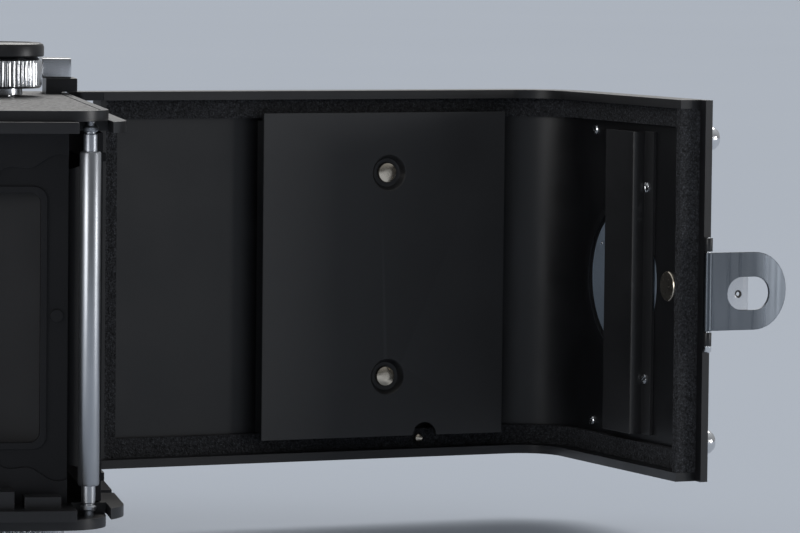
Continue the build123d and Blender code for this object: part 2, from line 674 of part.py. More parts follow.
with BuildPart() as door_shell:
    with BuildSketch(AXIAL.offset(-HALF)):
        with BuildLine():
            back_outline(BACK_SKIN, BACK_DEPTH, BACK_FRONT, BACK_TOP)
        make_face()
    extrude(amount=WIDTH)
    with BuildSketch(AXIAL.offset(-HALF + RIM)):
        with BuildLine():
            back_outline(BACK_WALL, BACK_DEPTH + 1, FRONT_FOAM[1], BACK_TOP - 1.2)
        make_face()
    extrude(amount=WIDTH - 2 * RIM, mode=Mode.SUBTRACT)
    # room for the front foam, lip in front of it, and a lower edge at the hinge
    block(BACK_FRONT - 0.1, FRONT_FOAM[1] + 0.1, BACK_WALL, BACK_DEPTH + 1, -HALF + RIM,
          HALF - RIM, Mode.SUBTRACT)
    block(BACK_LIP, BACK_FRONT, BACK_SKIN, LIP_TOP, -HALF, HALF)
    block(-7.0, -5.0, 107.0, 109.0, -HALF + RIM, HALF - RIM, Mode.SUBTRACT)
    # rounded ends of the rim beside the hinge
    for base in (-HALF, HALF - RIM):
        with BuildSketch(AXIAL.offset(base)):
            Polygon((-BACK_SKIN, BACK_TOP - 0.5), (-BACK_DEPTH, BACK_TOP - 0.5),
                    (HINGE_X - HINGE_EAR_R, HINGE_Y), (HINGE_X + HINGE_EAR_R - 0.2, HINGE_Y),
                    align=None)
            with Locations((HINGE_X, HINGE_Y)):
                Circle(HINGE_EAR_R)
        extrude(amount=RIM)
    # opening of the lock disc with a raised lip round the part behind the inner cover
    drum_y(LOCK_X, 0, BACK_WALL, BACK_WALL + 0.5, LOCK_LIP_R)
    drum_y(LOCK_X, 0, BACK_WALL, 4.0, LOCK_LIP_BORE_R, Mode.SUBTRACT)
    block(LOCK_X - LOCK_LIP_R - 1, LOCK_LIP_END, BACK_WALL, 4.0, -LOCK_LIP_R, LOCK_LIP_R,
          Mode.SUBTRACT)
    drum_y(LOCK_X, 0, -1.0, 4.0, LOCK_R + 0.1, Mode.SUBTRACT)
    # hinge leaf and knuckle, and the two ears of the latch hinge
    block(-BACK_WALL, -BACK_SKIN, BACK_TOP - 1, HINGE_Y, -14.0, 14.0)
    drum_z((HINGE_X, HINGE_Y), -14.0, 14.0, 2.2)
    drum_z((HINGE_X, HINGE_Y), -15.0, 15.0, 1.0 + RUNNING, Mode.SUBTRACT)
    for side in (-1, 1):
        block(HASP_X, BACK_LIP, HASP_Y - KNUCKLE_R, LIP_TOP, side * 8.3, side * 11.0)
        drum_z((HASP_X, HASP_Y), side * 8.3, side * 11.0, KNUCKLE_R)
    drum_z((HASP_X, HASP_Y), -12.0, 12.0, HASP_PIN_R, Mode.SUBTRACT)
keep(door_shell, "door_shell", OPENED)

with BuildPart() as door_covering:
    with BuildSketch(AXIAL.offset(-38.4)):
        with BuildLine():
            back_outline(0.0, BACK_SKIN, -66.0, 107.6)
        make_face()
    extrude(amount=76.8)
    drum_y(LOCK_X, 0, -1.0, 1.0, LOCK_R + 1.2, Mode.SUBTRACT)
    for x in FOOT_X:
        for z in (-FOOT_Z, FOOT_Z):
            drum_y(x, z, -1.0, 1.0, FOOT_R + 0.2, Mode.SUBTRACT)
keep(door_covering, "door_covering", OPENED)

with BuildPart() as foam_seal:
    for z in (-HALF + RIM, HALF - RIM - FOAM_WIDTH):
        with BuildSketch(AXIAL.offset(z)):
            with BuildLine():
                back_outline(BACK_WALL, FOAM_FACE, FRONT_FOAM[1], BACK_TOP - 1.2)
            make_face()
        extrude(amount=FOAM_WIDTH)
    inner_z = HALF - RIM - FOAM_WIDTH
    block(-FOAM_FACE, -BACK_WALL, BACK_TOP - 4.4, BACK_TOP - 1.2, -inner_z, inner_z)
    block(*FRONT_FOAM, BACK_WALL, BACK_DEPTH, -HALF + RIM, HALF - RIM)
    drum_x(35.0, -35.2, -8.0, 0.0, 1.3, Mode.SUBTRACT)
keep(foam_seal, "foam_seal", OPENED)

PLATE_LOW = 16.8
PLATE_HIGH = 72.8
PLATE_FACE = -6.8
PLATE_HALF = 34.35
STUD_Y = 43.8
STUD_Z = 21.6

with BuildPart() as pressure_plate:
    block(PLATE_FACE, PLATE_FACE + 1.0, PLATE_LOW, PLATE_HIGH, -PLATE_HALF, PLATE_HALF)
    for y in (PLATE_LOW + 0.4, PLATE_HIGH - 0.4):
        block(PLATE_FACE, -3.4, y - 0.4, y + 0.4, -PLATE_HALF + 1.6, PLATE_HALF - 1.6)
    for z in (-STUD_Z, STUD_Z):
        drum_x(STUD_Y, z, PLATE_FACE, -4.3, 4.6)
        with Locations(Location((PLATE_FACE + 0.8, STUD_Y, z), (0, 90, 0))):
            Cone(3.8, 3.0, 1.6, mode=Mode.SUBTRACT)
        drum_x(STUD_Y, z, -8.0, -4.0, 1.6, Mode.SUBTRACT)
    drum_x(35.0, -PLATE_HALF, -8.0, -5.0, 2.75, Mode.SUBTRACT)
keep(pressure_plate, "pressure_plate", OPENED)

with BuildPart() as plate_studs:
    for z in (-STUD_Z, STUD_Z):
        drum_x(STUD_Y, z, -BACK_WALL, -5.3, 1.45)
        drum_x(STUD_Y, z, -5.25, -6.1, 2.15)
keep(plate_studs, "plate_studs", OPENED)

with BuildPart() as plate_springs:
    for y in (30.0, 58.0):
        block(-2.2, -BACK_WALL, y - 3.0, y + 3.0, -4.0, 4.0)
        for side in (-1, 1):
            with BuildSketch(Plane.XZ.offset(-(y - 3.0))):
                with BuildLine():
                    Polyline((-2.2, 0.0), (-1.6, 0.0), (-3.7, side * 17.0), (-4.3, side * 17.0),
                             close=True)
                make_face()
            extrude(amount=-6.0)
keep(plate_springs, "plate_springs", OPENED)

with BuildPart() as guide_pin:
    drum_x(35.0, -35.2, -BACK_WALL, -4.4, 0.95)
keep(guide_pin, "guide_pin", OPENED)

# sheet cover over the lock: a raised strip, a soft ridge and a screwed flange
COVER_HALF = 31.6
COVER_REAR = -30.2
COVER_TOP = 4.6
COVER_FOOT = -43.7
FLANGE_EDGE = -47.4
FLANGE_TOP = 2.4
FLANGE_SCREW_X = -44.9

with BuildPart() as inner_cover:
    with BuildSketch(AXIAL.offset(-COVER_HALF)):
        with BuildLine():
            Line((-42.2, COVER_TOP), (COVER_REAR, COVER_TOP))
            Line((COVER_REAR, COVER_TOP), (COVER_REAR, COVER_TOP - 0.7))
            Line((COVER_REAR, COVER_TOP - 0.7), (COVER_FOOT + 0.9, COVER_TOP - 0.7))
            Line((COVER_FOOT + 0.9, COVER_TOP - 0.7), (COVER_FOOT + 0.9, BACK_WALL))
            Line((COVER_FOOT + 0.9, BACK_WALL), (FLANGE_EDGE, BACK_WALL))
            Line((FLANGE_EDGE, BACK_WALL), (FLANGE_EDGE, FLANGE_TOP))
            Line((FLANGE_EDGE, FLANGE_TOP), (COVER_FOOT, FLANGE_TOP))
            Spline((COVER_FOOT, FLANGE_TOP), (-43.6, 4.0), (-43.1, 4.9), (-42.2, COVER_TOP))
        make_face()
    extrude(amount=2 * COVER_HALF)
    # the flange is stepped where it passes over the lock disc
    drum_y(LOCK_X, 0, 0.0, 1.9, LOCK_R + 0.4, Mode.SUBTRACT)
    for side in (-1, 1):
        block(COVER_REAR - 0.8, COVER_REAR, BACK_WALL, 4.0, side * 18.5, side * COVER_HALF)
keep(inner_cover, "inner_cover", OPENED)

with BuildPart() as cover_screws:
    for z in (-31.0, 31.0):
        drum_y(-20.0, z, BACK_WALL, BACK_WALL + 0.6, 1.1)
    for z in (-20.0, 20.0):
        drum_y(FLANGE_SCREW_X, z, FLANGE_TOP, FLANGE_TOP + 0.5, 1.1)
keep(cover_screws, "cover_screws", OPENED)

with BuildPart() as lock_disc:
    drum_y(LOCK_X, 0, -0.9, 1.5, LOCK_R)
    drum_y(LOCK_X, 0, -2.0, 3.0, SOCKET_BODY_R + 0.08, Mode.SUBTRACT)
    for side in (-1, 1):
        block(LOCK_X - 1.2, LOCK_X + 1.2, -2.2, -0.9, side * 7.6, side * 13.8)
    # shallow detent hole in the inner face
    drum_y(LOCK_X + 10.6, 7.0, 0.9, 1.6, 0.6, Mode.SUBTRACT)
keep(lock_disc, "lock_disc", OPENED)

with BuildPart() as tripod_socket:
    drum_y(LOCK_X, 0, -0.9, 3.8, SOCKET_BODY_R)
    drum_y(LOCK_X, 0, -2.0, 3.7, SOCKET_R, Mode.SUBTRACT)
keep(tripod_socket, "tripod_socket", OPENED)

with BuildPart() as latch_rivet:
    drum_y(-53.2, 0.0, BACK_WALL, BACK_WALL + 0.6, 3.1)
keep(latch_rivet, "latch_rivet", OPENED)

with BuildPart() as door_feet:
    for x in FOOT_X:
        for z in (-FOOT_Z, FOOT_Z):
            drum_y(x, z, -FOOT_DROP, BACK_SKIN, FOOT_R)
    fillet(door_feet.edges().filter_by(GeomType.CIRCLE).group_by(Axis.Y)[0], 1.8)
keep(door_feet, "door_feet", OPENED)

with BuildPart() as latch_pin:
    drum_z((HASP_X, HASP_Y), -12.4, 11.2, HASP_PIN_R)
    drum_z((HASP_X, HASP_Y), -12.4, -11.1, 0.85)
keep(latch_pin, "latch_pin", OPENED)

with BuildPart() as latch_hasp:
    drum_z((HASP_X, HASP_Y), -HASP_R, HASP_R, KNUCKLE_R)
    tip_y = HASP_TIP + HASP_R
    block(*HASP_PLATE, tip_y, HASP_Y, -HASP_R, HASP_R)
    drum_x(tip_y, 0, *HASP_PLATE, HASP_R)
    with BuildSketch(Plane.YZ.offset(HASP_PLATE[0] - 0.5)):
        with Locations(((HASP_SLOT[0] + HASP_SLOT[1]) / 2, HASP_SLOT_Z)):
            SlotOverall(HASP_SLOT[1] - HASP_SLOT[0], HASP_SLOT_WIDTH)
    extrude(amount=1.5, mode=Mode.SUBTRACT)
    drum_z((HASP_X, HASP_Y), -9.0, 9.0, HASP_PIN_R + RUNNING, Mode.SUBTRACT)
keep(latch_hasp, "latch_hasp", OPENED)

with BuildPart() as hasp_catch:
    block(HASP_PLATE[1], HASP_PLATE[1] + 0.5, -8.3, -0.6, -5.4, 4.4)
    drum_x(-6.0, -0.6, HASP_PLATE[0], HASP_PLATE[1] + 1, 0.75, Mode.SUBTRACT)
keep(hasp_catch, "hasp_catch", OPENED)

# ---- The frame's origin is the middle of the footprint, on the surface under the knobs ----
boxes = [piece.bounding_box() for piece in finished]
MIDDLE_X = (min(box.min.X for box in boxes) + max(box.max.X for box in boxes)) / 2
MIDDLE_Y = (min(box.min.Y for box in boxes) + max(box.max.Y for box in boxes)) / 2
LOWEST_Z = min(box.min.Z for box in boxes)
ORIGIN = Pos(-MIDDLE_X, -MIDDLE_Y, -LOWEST_Z)

for piece in finished:
    placed = ORIGIN * piece
    placed.label = piece.label
    export_step(placed, f"parts/{piece.label}.step")

print("pieces", len(finished))
print("origin", round(-MIDDLE_X, 4), round(-MIDDLE_Y, 4), round(-LOWEST_Z, 4))
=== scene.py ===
"""Looks for a twin lens reflex camera that lies on its side with its back open."""

import json
import math

import bmesh
import bpy
from mathutils import Matrix, Vector, noise


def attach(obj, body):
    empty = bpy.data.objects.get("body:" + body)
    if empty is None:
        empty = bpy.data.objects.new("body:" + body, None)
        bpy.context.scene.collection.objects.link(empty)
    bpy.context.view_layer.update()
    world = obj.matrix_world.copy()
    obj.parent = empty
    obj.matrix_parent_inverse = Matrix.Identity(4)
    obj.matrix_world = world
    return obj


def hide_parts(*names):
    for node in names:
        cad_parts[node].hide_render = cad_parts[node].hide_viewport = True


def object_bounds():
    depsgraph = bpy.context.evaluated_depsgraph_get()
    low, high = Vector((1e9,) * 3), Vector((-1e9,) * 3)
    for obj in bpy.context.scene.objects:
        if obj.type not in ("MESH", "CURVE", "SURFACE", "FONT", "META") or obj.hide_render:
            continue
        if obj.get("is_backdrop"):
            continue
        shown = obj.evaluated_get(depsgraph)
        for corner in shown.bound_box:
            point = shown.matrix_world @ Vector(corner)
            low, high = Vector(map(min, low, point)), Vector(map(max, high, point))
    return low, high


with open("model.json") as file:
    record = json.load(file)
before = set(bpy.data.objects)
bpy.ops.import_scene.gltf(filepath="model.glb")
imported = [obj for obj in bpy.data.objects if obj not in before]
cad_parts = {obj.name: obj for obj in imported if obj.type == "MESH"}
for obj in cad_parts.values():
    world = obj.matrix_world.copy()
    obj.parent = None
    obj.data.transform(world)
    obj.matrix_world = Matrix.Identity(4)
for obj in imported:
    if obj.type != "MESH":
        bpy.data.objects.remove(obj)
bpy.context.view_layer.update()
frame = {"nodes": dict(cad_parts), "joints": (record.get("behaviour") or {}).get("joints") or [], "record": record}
nodes = frame["nodes"]
MM = 0.001

# ---------------------------------------------------------------- driving dimensions
# Pieces are drawn in millimetres with the back shut: x = 0 is the back's outer face, y = 0 the
# underside, z = 0 the middle, +X out of the back and +Y out of the hood.
HINGE_AT = (-3.0, 112.2, 0.0)
BACK_WALL = 1.6                    # inner face of the back, measured from its outer face
BACK_BEND = 15.0                   # outer radius of the bend between rear wall and underside
LOCK_X = -33.4
BALL_Y = 1.22                      # height of the detent ball's centre in the lock disc
SOCKET_AT = (LOCK_X, 0, 0)
RIVET_AT = (-53.2, 0, 0)
LATCH_PIN_AT = (-70.3, 1.5, 0)
HASP_PLANE = -69.75                # middle of the flat hasp's thickness
STUD_HEIGHT, STUD_HALF_GAP = 43.8, 21.6
GUIDE_PIN_AT = (0, 35.0, -35.2)
LOWER_ROLLER_AT = (-10.3, 13.0, 0)
UPPER_ROLLER_AT = (-9.6, 75.6, 0)
TAKE_UP_AXIS = (-21.5, 85.0, 0)
SUPPLY_AXIS = (-54.0, 15.2, 0)
FOCUS_AXIS = (-50.0, 46.0, 0)
TAKING_Y, VIEWING_Y = 44.6, 87.6
BARREL_FRONT = -89.0
LEAF_REACH, LEAF_THICKNESS = 49.6, 0.8
MAGNIFIER_AT = (0, 150.0, 0)

# ---------------------------------------------------------------- places
joints = {joint["name"]: joint for joint in frame["joints"]}
hinge_at = Vector(joints["back_swing"]["pos_m"])
OPEN_ANGLE = math.radians(-joints["back_swing"]["range_deg"][0])
HINGE = Vector(HINGE_AT) * MM
SHUT = Matrix.Translation(hinge_at - HINGE)
OPENED = Matrix.Translation(hinge_at) @ Matrix.Rotation(OPEN_ANGLE, 4, "Z") @ Matrix.Translation(-HINGE)
PLACE = {"back": OPENED, "plate": OPENED, "lock": OPENED, "hasp": OPENED}


def place(obj, body, slot=None, replaces=()):
    """Scale a piece drawn in mm, stand it where its body is at rest and let it ride there."""
    scale = Matrix.Diagonal((MM, MM, MM, 1.0))
    obj.data.transform(PLACE.get(body, SHUT) @ scale)
    obj.data.update()
    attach(obj, body)
    if slot:
        obj.data.materials.append(MATERIALS[slot])
    if replaces:
        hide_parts(*replaces)
    return obj


# ---------------------------------------------------------------- materials
def new_material(name, color, roughness, metallic=0.0, specular=0.5, coat=0.0, coat_roughness=0.1):
    """A Principled material; returns (material, node tree, shader node)."""
    material = bpy.data.materials.new(name)
    material.use_nodes = True
    tree = material.node_tree
    shader = tree.nodes["Principled BSDF"]
    shader.inputs["Base Color"].default_value = (*color, 1.0)
    shader.inputs["Roughness"].default_value = roughness
    shader.inputs["Metallic"].default_value = metallic
    shader.inputs["Specular IOR Level"].default_value = specular
    shader.inputs["Coat Weight"].default_value = coat
    shader.inputs["Coat Roughness"].default_value = coat_roughness
    material.diffuse_color = (*color, 1.0)
    return material, tree, shader


def add_node(tree, kind, **values):
    """A shader node with its properties and input values set by name."""
    node = tree.nodes.new(kind)
    for key, value in values.items():
        if key in node.inputs:
            node.inputs[key].default_value = value
        else:
            setattr(node, key, value)
    return node


def coordinates(tree, scale=(1.0, 1.0, 1.0)):
    """Object coordinates, stretched per axis."""
    source = add_node(tree, "ShaderNodeTexCoord")
    mapping = add_node(tree, "ShaderNodeMapping", Scale=scale)
    tree.links.new(source.outputs["Object"], mapping.inputs["Vector"])
    return mapping.outputs["Vector"]


def noise_node(tree, vector, scale, detail=4.0, roughness=0.6):
    """Noise texture; returns its value."""
    node = add_node(tree, "ShaderNodeTexNoise", Scale=scale, Detail=detail, Roughness=roughness)
    tree.links.new(vector, node.inputs["Vector"])
    return node.outputs["Fac"]


def ramp_node(tree, value, stops):
    """A colour ramp; stops are (position, colour)."""
    node = add_node(tree, "ShaderNodeValToRGB")
    elements = node.color_ramp.elements
    while len(elements) < len(stops):
        elements.new(0.5)
    for element, (position, color) in zip(elements, stops):
        element.position = position
        element.color = (*color, 1.0)
    tree.links.new(value, node.inputs["Fac"])
    return node.outputs["Color"]


def map_node(tree, value, low, high, new_low, new_high):
    """Map a value from one range to another, clamped at both ends."""
    node = add_node(tree, "ShaderNodeMapRange")
    for key, number in (("From Min", low), ("From Max", high), ("To Min", new_low), ("To Max", new_high)):
        node.inputs[key].default_value = number
    tree.links.new(value, node.inputs["Value"])
    return node.outputs["Result"]


def bump(tree, shader, height, strength, distance):
    """Raise the surface by a height value; distance is in metres."""
    node = add_node(tree, "ShaderNodeBump", Strength=strength, Distance=distance)
    tree.links.new(height, node.inputs["Height"])
    tree.links.new(node.outputs["Normal"], shader.inputs["Normal"])


# A Mix node's sockets share their names, so its colour sockets are found by number.
MIX_FIRST, MIX_SECOND, MIX_RESULT = 6, 7, 2


def edge_wear(tree, color, worn, amount):
    """Mix a worn colour into a colour output where the surface has corners, by pointiness."""
    geometry = add_node(tree, "ShaderNodeNewGeometry")
    mask = map_node(tree, geometry.outputs["Pointiness"], 0.52, 0.6, 0.0, amount)
    mix = add_node(tree, "ShaderNodeMix", data_type="RGBA")
    tree.links.new(mask, mix.inputs["Factor"])
    tree.links.new(color, mix.inputs[MIX_FIRST])
    mix.inputs[MIX_SECOND].default_value = (*worn, 1.0)
    return mix.outputs[MIX_RESULT]


def painted_black(name, tone, roughness, grain=0.15, sheen_scale=60.0, gloss=0.5):
    """Satin black enamel: faint mottling, a fine orange-peel bump and slightly worn corners."""
    material, tree, shader = new_material(name, tone, roughness)
    vector = coordinates(tree)
    broad = noise_node(tree, vector, sheen_scale, 3.0)
    light = tuple(channel * 1.4 + 0.002 for channel in tone)
    color = ramp_node(tree, broad, ((0.3, tone), (0.75, light)))
    worn = tuple(channel * 2.4 + 0.008 for channel in tone)
    tree.links.new(edge_wear(tree, color, worn, 0.6), shader.inputs["Base Color"])
    fine = noise_node(tree, vector, 2600.0, 2.0)
    tree.links.new(map_node(tree, broad, 0.3, 0.7, roughness - 0.05, roughness + 0.06),
                   shader.inputs["Roughness"])
    shader.inputs["Specular IOR Level"].default_value = gloss
    bump(tree, shader, fine, grain, 0.05 * MM)
    return material


def brushed(name, color, roughness, stretch, grain=0.2, metallic=1.0):
    """Metal with fine lines along one axis and a slow change of tone."""
    material, tree, shader = new_material(name, color, roughness, metallic)
    lines = noise_node(tree, coordinates(tree, stretch), 900.0, 3.0)
    slow = noise_node(tree, coordinates(tree), 45.0, 2.0)
    dark = tuple(channel * 0.82 for channel in color)
    tree.links.new(ramp_node(tree, slow, ((0.3, dark), (0.7, color))), shader.inputs["Base Color"])
    tree.links.new(map_node(tree, lines, 0.3, 0.7, roughness * 0.75, roughness * 1.3),
                   shader.inputs["Roughness"])
    bump(tree, shader, lines, grain, 0.02 * MM)
    return material


def leather_grain(name, tone):
    """Black covering with a fine irregular pebble."""
    material, tree, shader = new_material(name, tone, 0.42)
    vector = coordinates(tree)
    warp = noise_node(tree, vector, 300.0, 2.0)
    cells = add_node(tree, "ShaderNodeTexVoronoi", Scale=1150.0, feature="SMOOTH_F1", Smoothness=0.35)
    tree.links.new(vector, cells.inputs["Vector"])
    distance = cells.outputs["Distance"]
    light = tuple(channel * 2.0 + 0.006 for channel in tone)
    tree.links.new(ramp_node(tree, distance, ((0.1, light), (0.7, tone))), shader.inputs["Base Color"])
    blend = add_node(tree, "ShaderNodeMath", operation="MULTIPLY_ADD")
    tree.links.new(warp, blend.inputs[0])
    blend.inputs[1].default_value = 0.7
    flip = map_node(tree, distance, 0.0, 0.8, 1.0, 0.0)
    tree.links.new(flip, blend.inputs[2])
    tree.links.new(map_node(tree, distance, 0.1, 0.7, 0.36, 0.6), shader.inputs["Roughness"])
    bump(tree, shader, blend.outputs["Value"], 0.8, 0.16 * MM)
    return material


def foam_material():
    """Open-cell foam: matt dark grains, with painted light on their crumbs and painted shade deep in their pores.
    """
    material, tree, shader = new_material("light_seal_foam", (0.02, 0.02, 0.021), 0.9, specular=0.35)
    vector = coordinates(tree)
    cells = add_node(tree, "ShaderNodeTexVoronoi", Scale=2600.0)
    tree.links.new(vector, cells.inputs["Vector"])
    clumps = noise_node(tree, vector, 1500.0, 5.0, 0.7)
    blend = add_node(tree, "ShaderNodeMath", operation="MULTIPLY_ADD")
    tree.links.new(cells.outputs["Distance"], blend.inputs[0])
    blend.inputs[1].default_value = -0.35
    tree.links.new(clumps, blend.inputs[2])
    # painted light and shade: the colour follows the bump height, lighter on the raised crumbs and darker in the
    # pores
    stops = ((0.15, (0.010, 0.010, 0.011)), (0.4, (0.036, 0.037, 0.041)), (0.6, (0.085, 0.088, 0.098)))
    tree.links.new(ramp_node(tree, blend.outputs["Value"], stops), shader.inputs["Base Color"])
    bump(tree, shader, blend.outputs["Value"], 0.9, 0.3 * MM)
    return material


def glass_material(name, tint, coating):
    """Coated lens glass: clear body with a coloured reflection from its coating."""
    material, tree, shader = new_material(name, tint, 0.02, coat=1.0, coat_roughness=0.02)
    shader.inputs["Transmission Weight"].default_value = 1.0
    shader.inputs["IOR"].default_value = 1.52
    shader.inputs["Coat Tint"].default_value = (*coating, 1.0)
    slow = noise_node(tree, coordinates(tree), 80.0, 1.0)
    tree.links.new(map_node(tree, slow, 0.3, 0.7, 0.01, 0.03), shader.inputs["Roughness"])
    return material


# Directions of the fine lines of a metal: small along the axis that the lines follow.
EVEN = (1.0, 1.0, 1.0)
ALONG_Z, ALONG_Z_FINE, ALONG_Z_SOFT = (1.0, 1.0, 0.02), (1.0, 1.0, 0.03), (1.0, 1.0, 0.05)

MATERIALS = {
    "body_black": painted_black("body_black", (0.007, 0.007, 0.008), 0.36),
    "inner_black": painted_black("inner_black", (0.003, 0.003, 0.004), 0.48, gloss=0.3),
    "leather_grain": leather_grain("leather_grain", (0.008, 0.008, 0.009)),
    "light_seal_foam": foam_material(),
    "plate_black": painted_black("plate_black", (0.014, 0.014, 0.015), 0.40, grain=0.08),
    "nickel": brushed("nickel", (0.78, 0.70, 0.58), 0.22, EVEN, grain=0.05),
    "polished_steel": brushed("polished_steel", (0.50, 0.52, 0.55), 0.34, ALONG_Z),
    "chrome_trim": brushed("chrome_trim", (0.72, 0.73, 0.75), 0.18, ALONG_Z_SOFT, grain=0.08),
    "satin_steel": brushed("satin_steel", (0.125, 0.14, 0.16), 0.32, ALONG_Z_FINE, grain=0.02),
    "aluminium_grey": brushed("aluminium_grey", (0.42, 0.50, 0.60), 0.5, EVEN, metallic=0.5),
    "lens_glass": glass_material("lens_glass", (0.97, 0.98, 1.0), (0.80, 0.74, 0.95)),
    "screen_glass": glass_material("screen_glass", (0.92, 0.94, 0.93), (0.95, 0.97, 0.96)),
    "mirror_silver": brushed("mirror_silver", (0.92, 0.93, 0.94), 0.03, EVEN, grain=0.0),
    "spool_black": painted_black("spool_black", (0.012, 0.012, 0.012), 0.45),
}

slots_of = {part["node"]: part["material_slot"] for part in frame["record"]["subparts"]}


def smooth_by_angle(obj, angle=35.0):
    """Smooth shading with sharp edges past an angle."""
    for polygon in obj.data.polygons:
        polygon.use_smooth = True
    mesh = obj.data
    limit = math.radians(angle)
    work = bmesh.new()
    work.from_mesh(mesh)
    sharp = [edge.index for edge in work.edges
             if len(edge.link_faces) == 2 and edge.calc_face_angle(0.0) > limit]
    work.free()
    for index in sharp:
        mesh.edges[index].use_edge_sharp = True


# ---------------------------------------------------------------- shapes
def new_object(name, work):
    """Turn a bmesh, drawn in mm, into an object of the scene."""
    bmesh.ops.recalc_face_normals(work, faces=work.faces)
    mesh = bpy.data.meshes.new(name)
    work.to_mesh(mesh)
    work.free()
    obj = bpy.data.objects.new(name, mesh)
    bpy.context.scene.collection.objects.link(obj)
    return obj


AXES = {"x": (Vector((0, 1, 0)), Vector((0, 0, 1)), Vector((1, 0, 0))),
        "y": (Vector((0, 0, 1)), Vector((1, 0, 0)), Vector((0, 1, 0))),
        "z": (Vector((1, 0, 0)), Vector((0, 1, 0)), Vector((0, 0, 1)))}


def lathe(name, profile, centre, axis, segments=64, teeth=0, depth=0.0):
    """Turn a profile of (along, radius) or (along, radius, toothed) about an axis through centre."""
    side, up, along = AXES[axis]
    centre = Vector(centre)
    count = teeth * 6 if teeth else segments
    work = bmesh.new()
    rings = []
    for point in profile:
        distance, radius = point[0], point[1]
        toothed = len(point) > 2 and point[2]
        if radius < 1e-6:
            rings.append([work.verts.new(centre + along * distance)])
            continue
        ring = []
        for step in range(count):
            angle = math.tau * step / count
            cut = depth * (0.5 - 0.5 * math.cos(teeth * angle)) if toothed else 0.0
            reach = radius - cut
            ring.append(work.verts.new(centre + along * distance + side * (reach * math.cos(angle))
                                       + up * (reach * math.sin(angle))))
        rings.append(ring)
    for first, second in zip(rings, rings[1:]):
        for step in range(count):
            following = (step + 1) % count
            if len(first) == 1 and len(second) == 1:
                continue
            if len(first) == 1:
                work.faces.new((first[0], second[following], second[step]))
            elif len(second) == 1:
                work.faces.new((first[step], first[following], second[0]))
            else:
                work.faces.new((first[step], first[following], second[following], second[step]))
    if len(rings[0]) > 1 and len(rings[-1]) > 1:
        first, second = rings[-1], rings[0]
        for step in range(count):
            following = (step + 1) % count
            work.faces.new((first[step], first[following], second[following], second[step]))
    obj = new_object(name, work)
    smooth_by_angle(obj, 28.0)
    return obj


def slab(name, low, high, edge=0.2, segments=2):
    """A box between two corners with rounded edges."""
    work = bmesh.new()
    bmesh.ops.create_cube(work, size=1.0)
    low, high = Vector(low), Vector(high)
    for vertex in work.verts:
        vertex.co = Vector([(low[i] + high[i]) / 2 + vertex.co[i] * (high[i] - low[i]) for i in range(3)])
    if edge:
        bmesh.ops.bevel(work, geom=work.edges[:], offset=edge, segments=segments, affect="EDGES",
                        profile=0.5)
    obj = new_object(name, work)
    smooth_by_angle(obj, 50.0)
    return obj


def prism(name, outline, axis, start, end, edge=0.0, segments=2):
    """Extrude a closed outline of two coordinates along an axis; the order is (side, up)."""
    side, up, along = AXES[axis]
    work = bmesh.new()
    base = [work.verts.new(side * a + up * b + along * start) for a, b in outline]
    top = [work.verts.new(side * a + up * b + along * end) for a, b in outline]
    count = len(outline)
    work.faces.new(base)
    work.faces.new(list(reversed(top)))
    for step in range(count):
        following = (step + 1) % count
        work.faces.new((base[step], base[following], top[following], top[step]))
    if edge:
        rims = [e for e in work.edges if len(e.link_faces) == 2 and e.calc_face_angle(0) > 0.9]
        bmesh.ops.bevel(work, geom=rims, offset=edge, segments=segments, affect="EDGES", profile=0.5)
    obj = new_object(name, work)
    smooth_by_angle(obj, 35.0)
    return obj


def join(name, *objects):
    """One object from several, keeping their meshes as they are."""
    work = bmesh.new()
    for obj in objects:
        work.from_mesh(obj.data)
        old = obj.data
        bpy.data.objects.remove(obj)
        bpy.data.meshes.remove(old)
    mesh = bpy.data.meshes.new(name)
    work.to_mesh(mesh)
    work.free()
    joined = bpy.data.objects.new(name, mesh)
    bpy.context.scene.collection.objects.link(joined)
    return joined


def arc(centre, radius, start, end, steps):
    """Points on an arc, in degrees."""
    points = []
    for step in range(steps + 1):
        angle = math.radians(start + (end - start) * step / steps)
        points.append((centre[0] + radius * math.cos(angle), centre[1] + radius * math.sin(angle)))
    return points


def pierced_sheet(name, outline, window, thickness, edge):
    """A flat sheet in (side, up) with one window and rounded edges, centred on its thickness."""
    curve = bpy.data.curves.new(name, "CURVE")
    curve.dimensions = "2D"
    curve.fill_mode = "BOTH"
    for loop in (outline, window):
        spline = curve.splines.new("POLY")
        spline.points.add(len(loop) - 1)
        for point, (a, b) in zip(spline.points, loop):
            point.co = (a, b, 0.0, 1.0)
        spline.use_cyclic_u = True
    curve.extrude = thickness / 2 - edge
    curve.bevel_depth = edge
    curve.bevel_resolution = 2
    curve.offset = -edge
    source = bpy.data.objects.new(name + "_curve", curve)
    mesh = bpy.data.meshes.new_from_object(source)
    bpy.data.objects.remove(source)
    obj = bpy.data.objects.new(name, mesh)
    bpy.context.scene.collection.objects.link(obj)
    return obj


def lettering(name, text, size, centre, across, upright, raise_by=0.04):
    """Thin raised figures that stand at a point, reading along one direction."""
    curve = bpy.data.curves.new(name, "FONT")
    curve.body = text
    curve.size = size
    curve.align_x = "CENTER"
    curve.align_y = "CENTER"
    curve.extrude = raise_by
    curve.resolution_u = 3
    source = bpy.data.objects.new(name + "_curve", curve)
    mesh = bpy.data.meshes.new_from_object(source)
    bpy.data.objects.remove(source)
    across, upright = Vector(across).normalized(), Vector(upright).normalized()
    normal = across.cross(upright)
    turn = Matrix((across, upright, normal)).transposed().to_4x4()
    mesh.transform(Matrix.Translation(Vector(centre)) @ turn)
    obj = bpy.data.objects.new(name, mesh)
    bpy.context.scene.collection.objects.link(obj)
    return obj


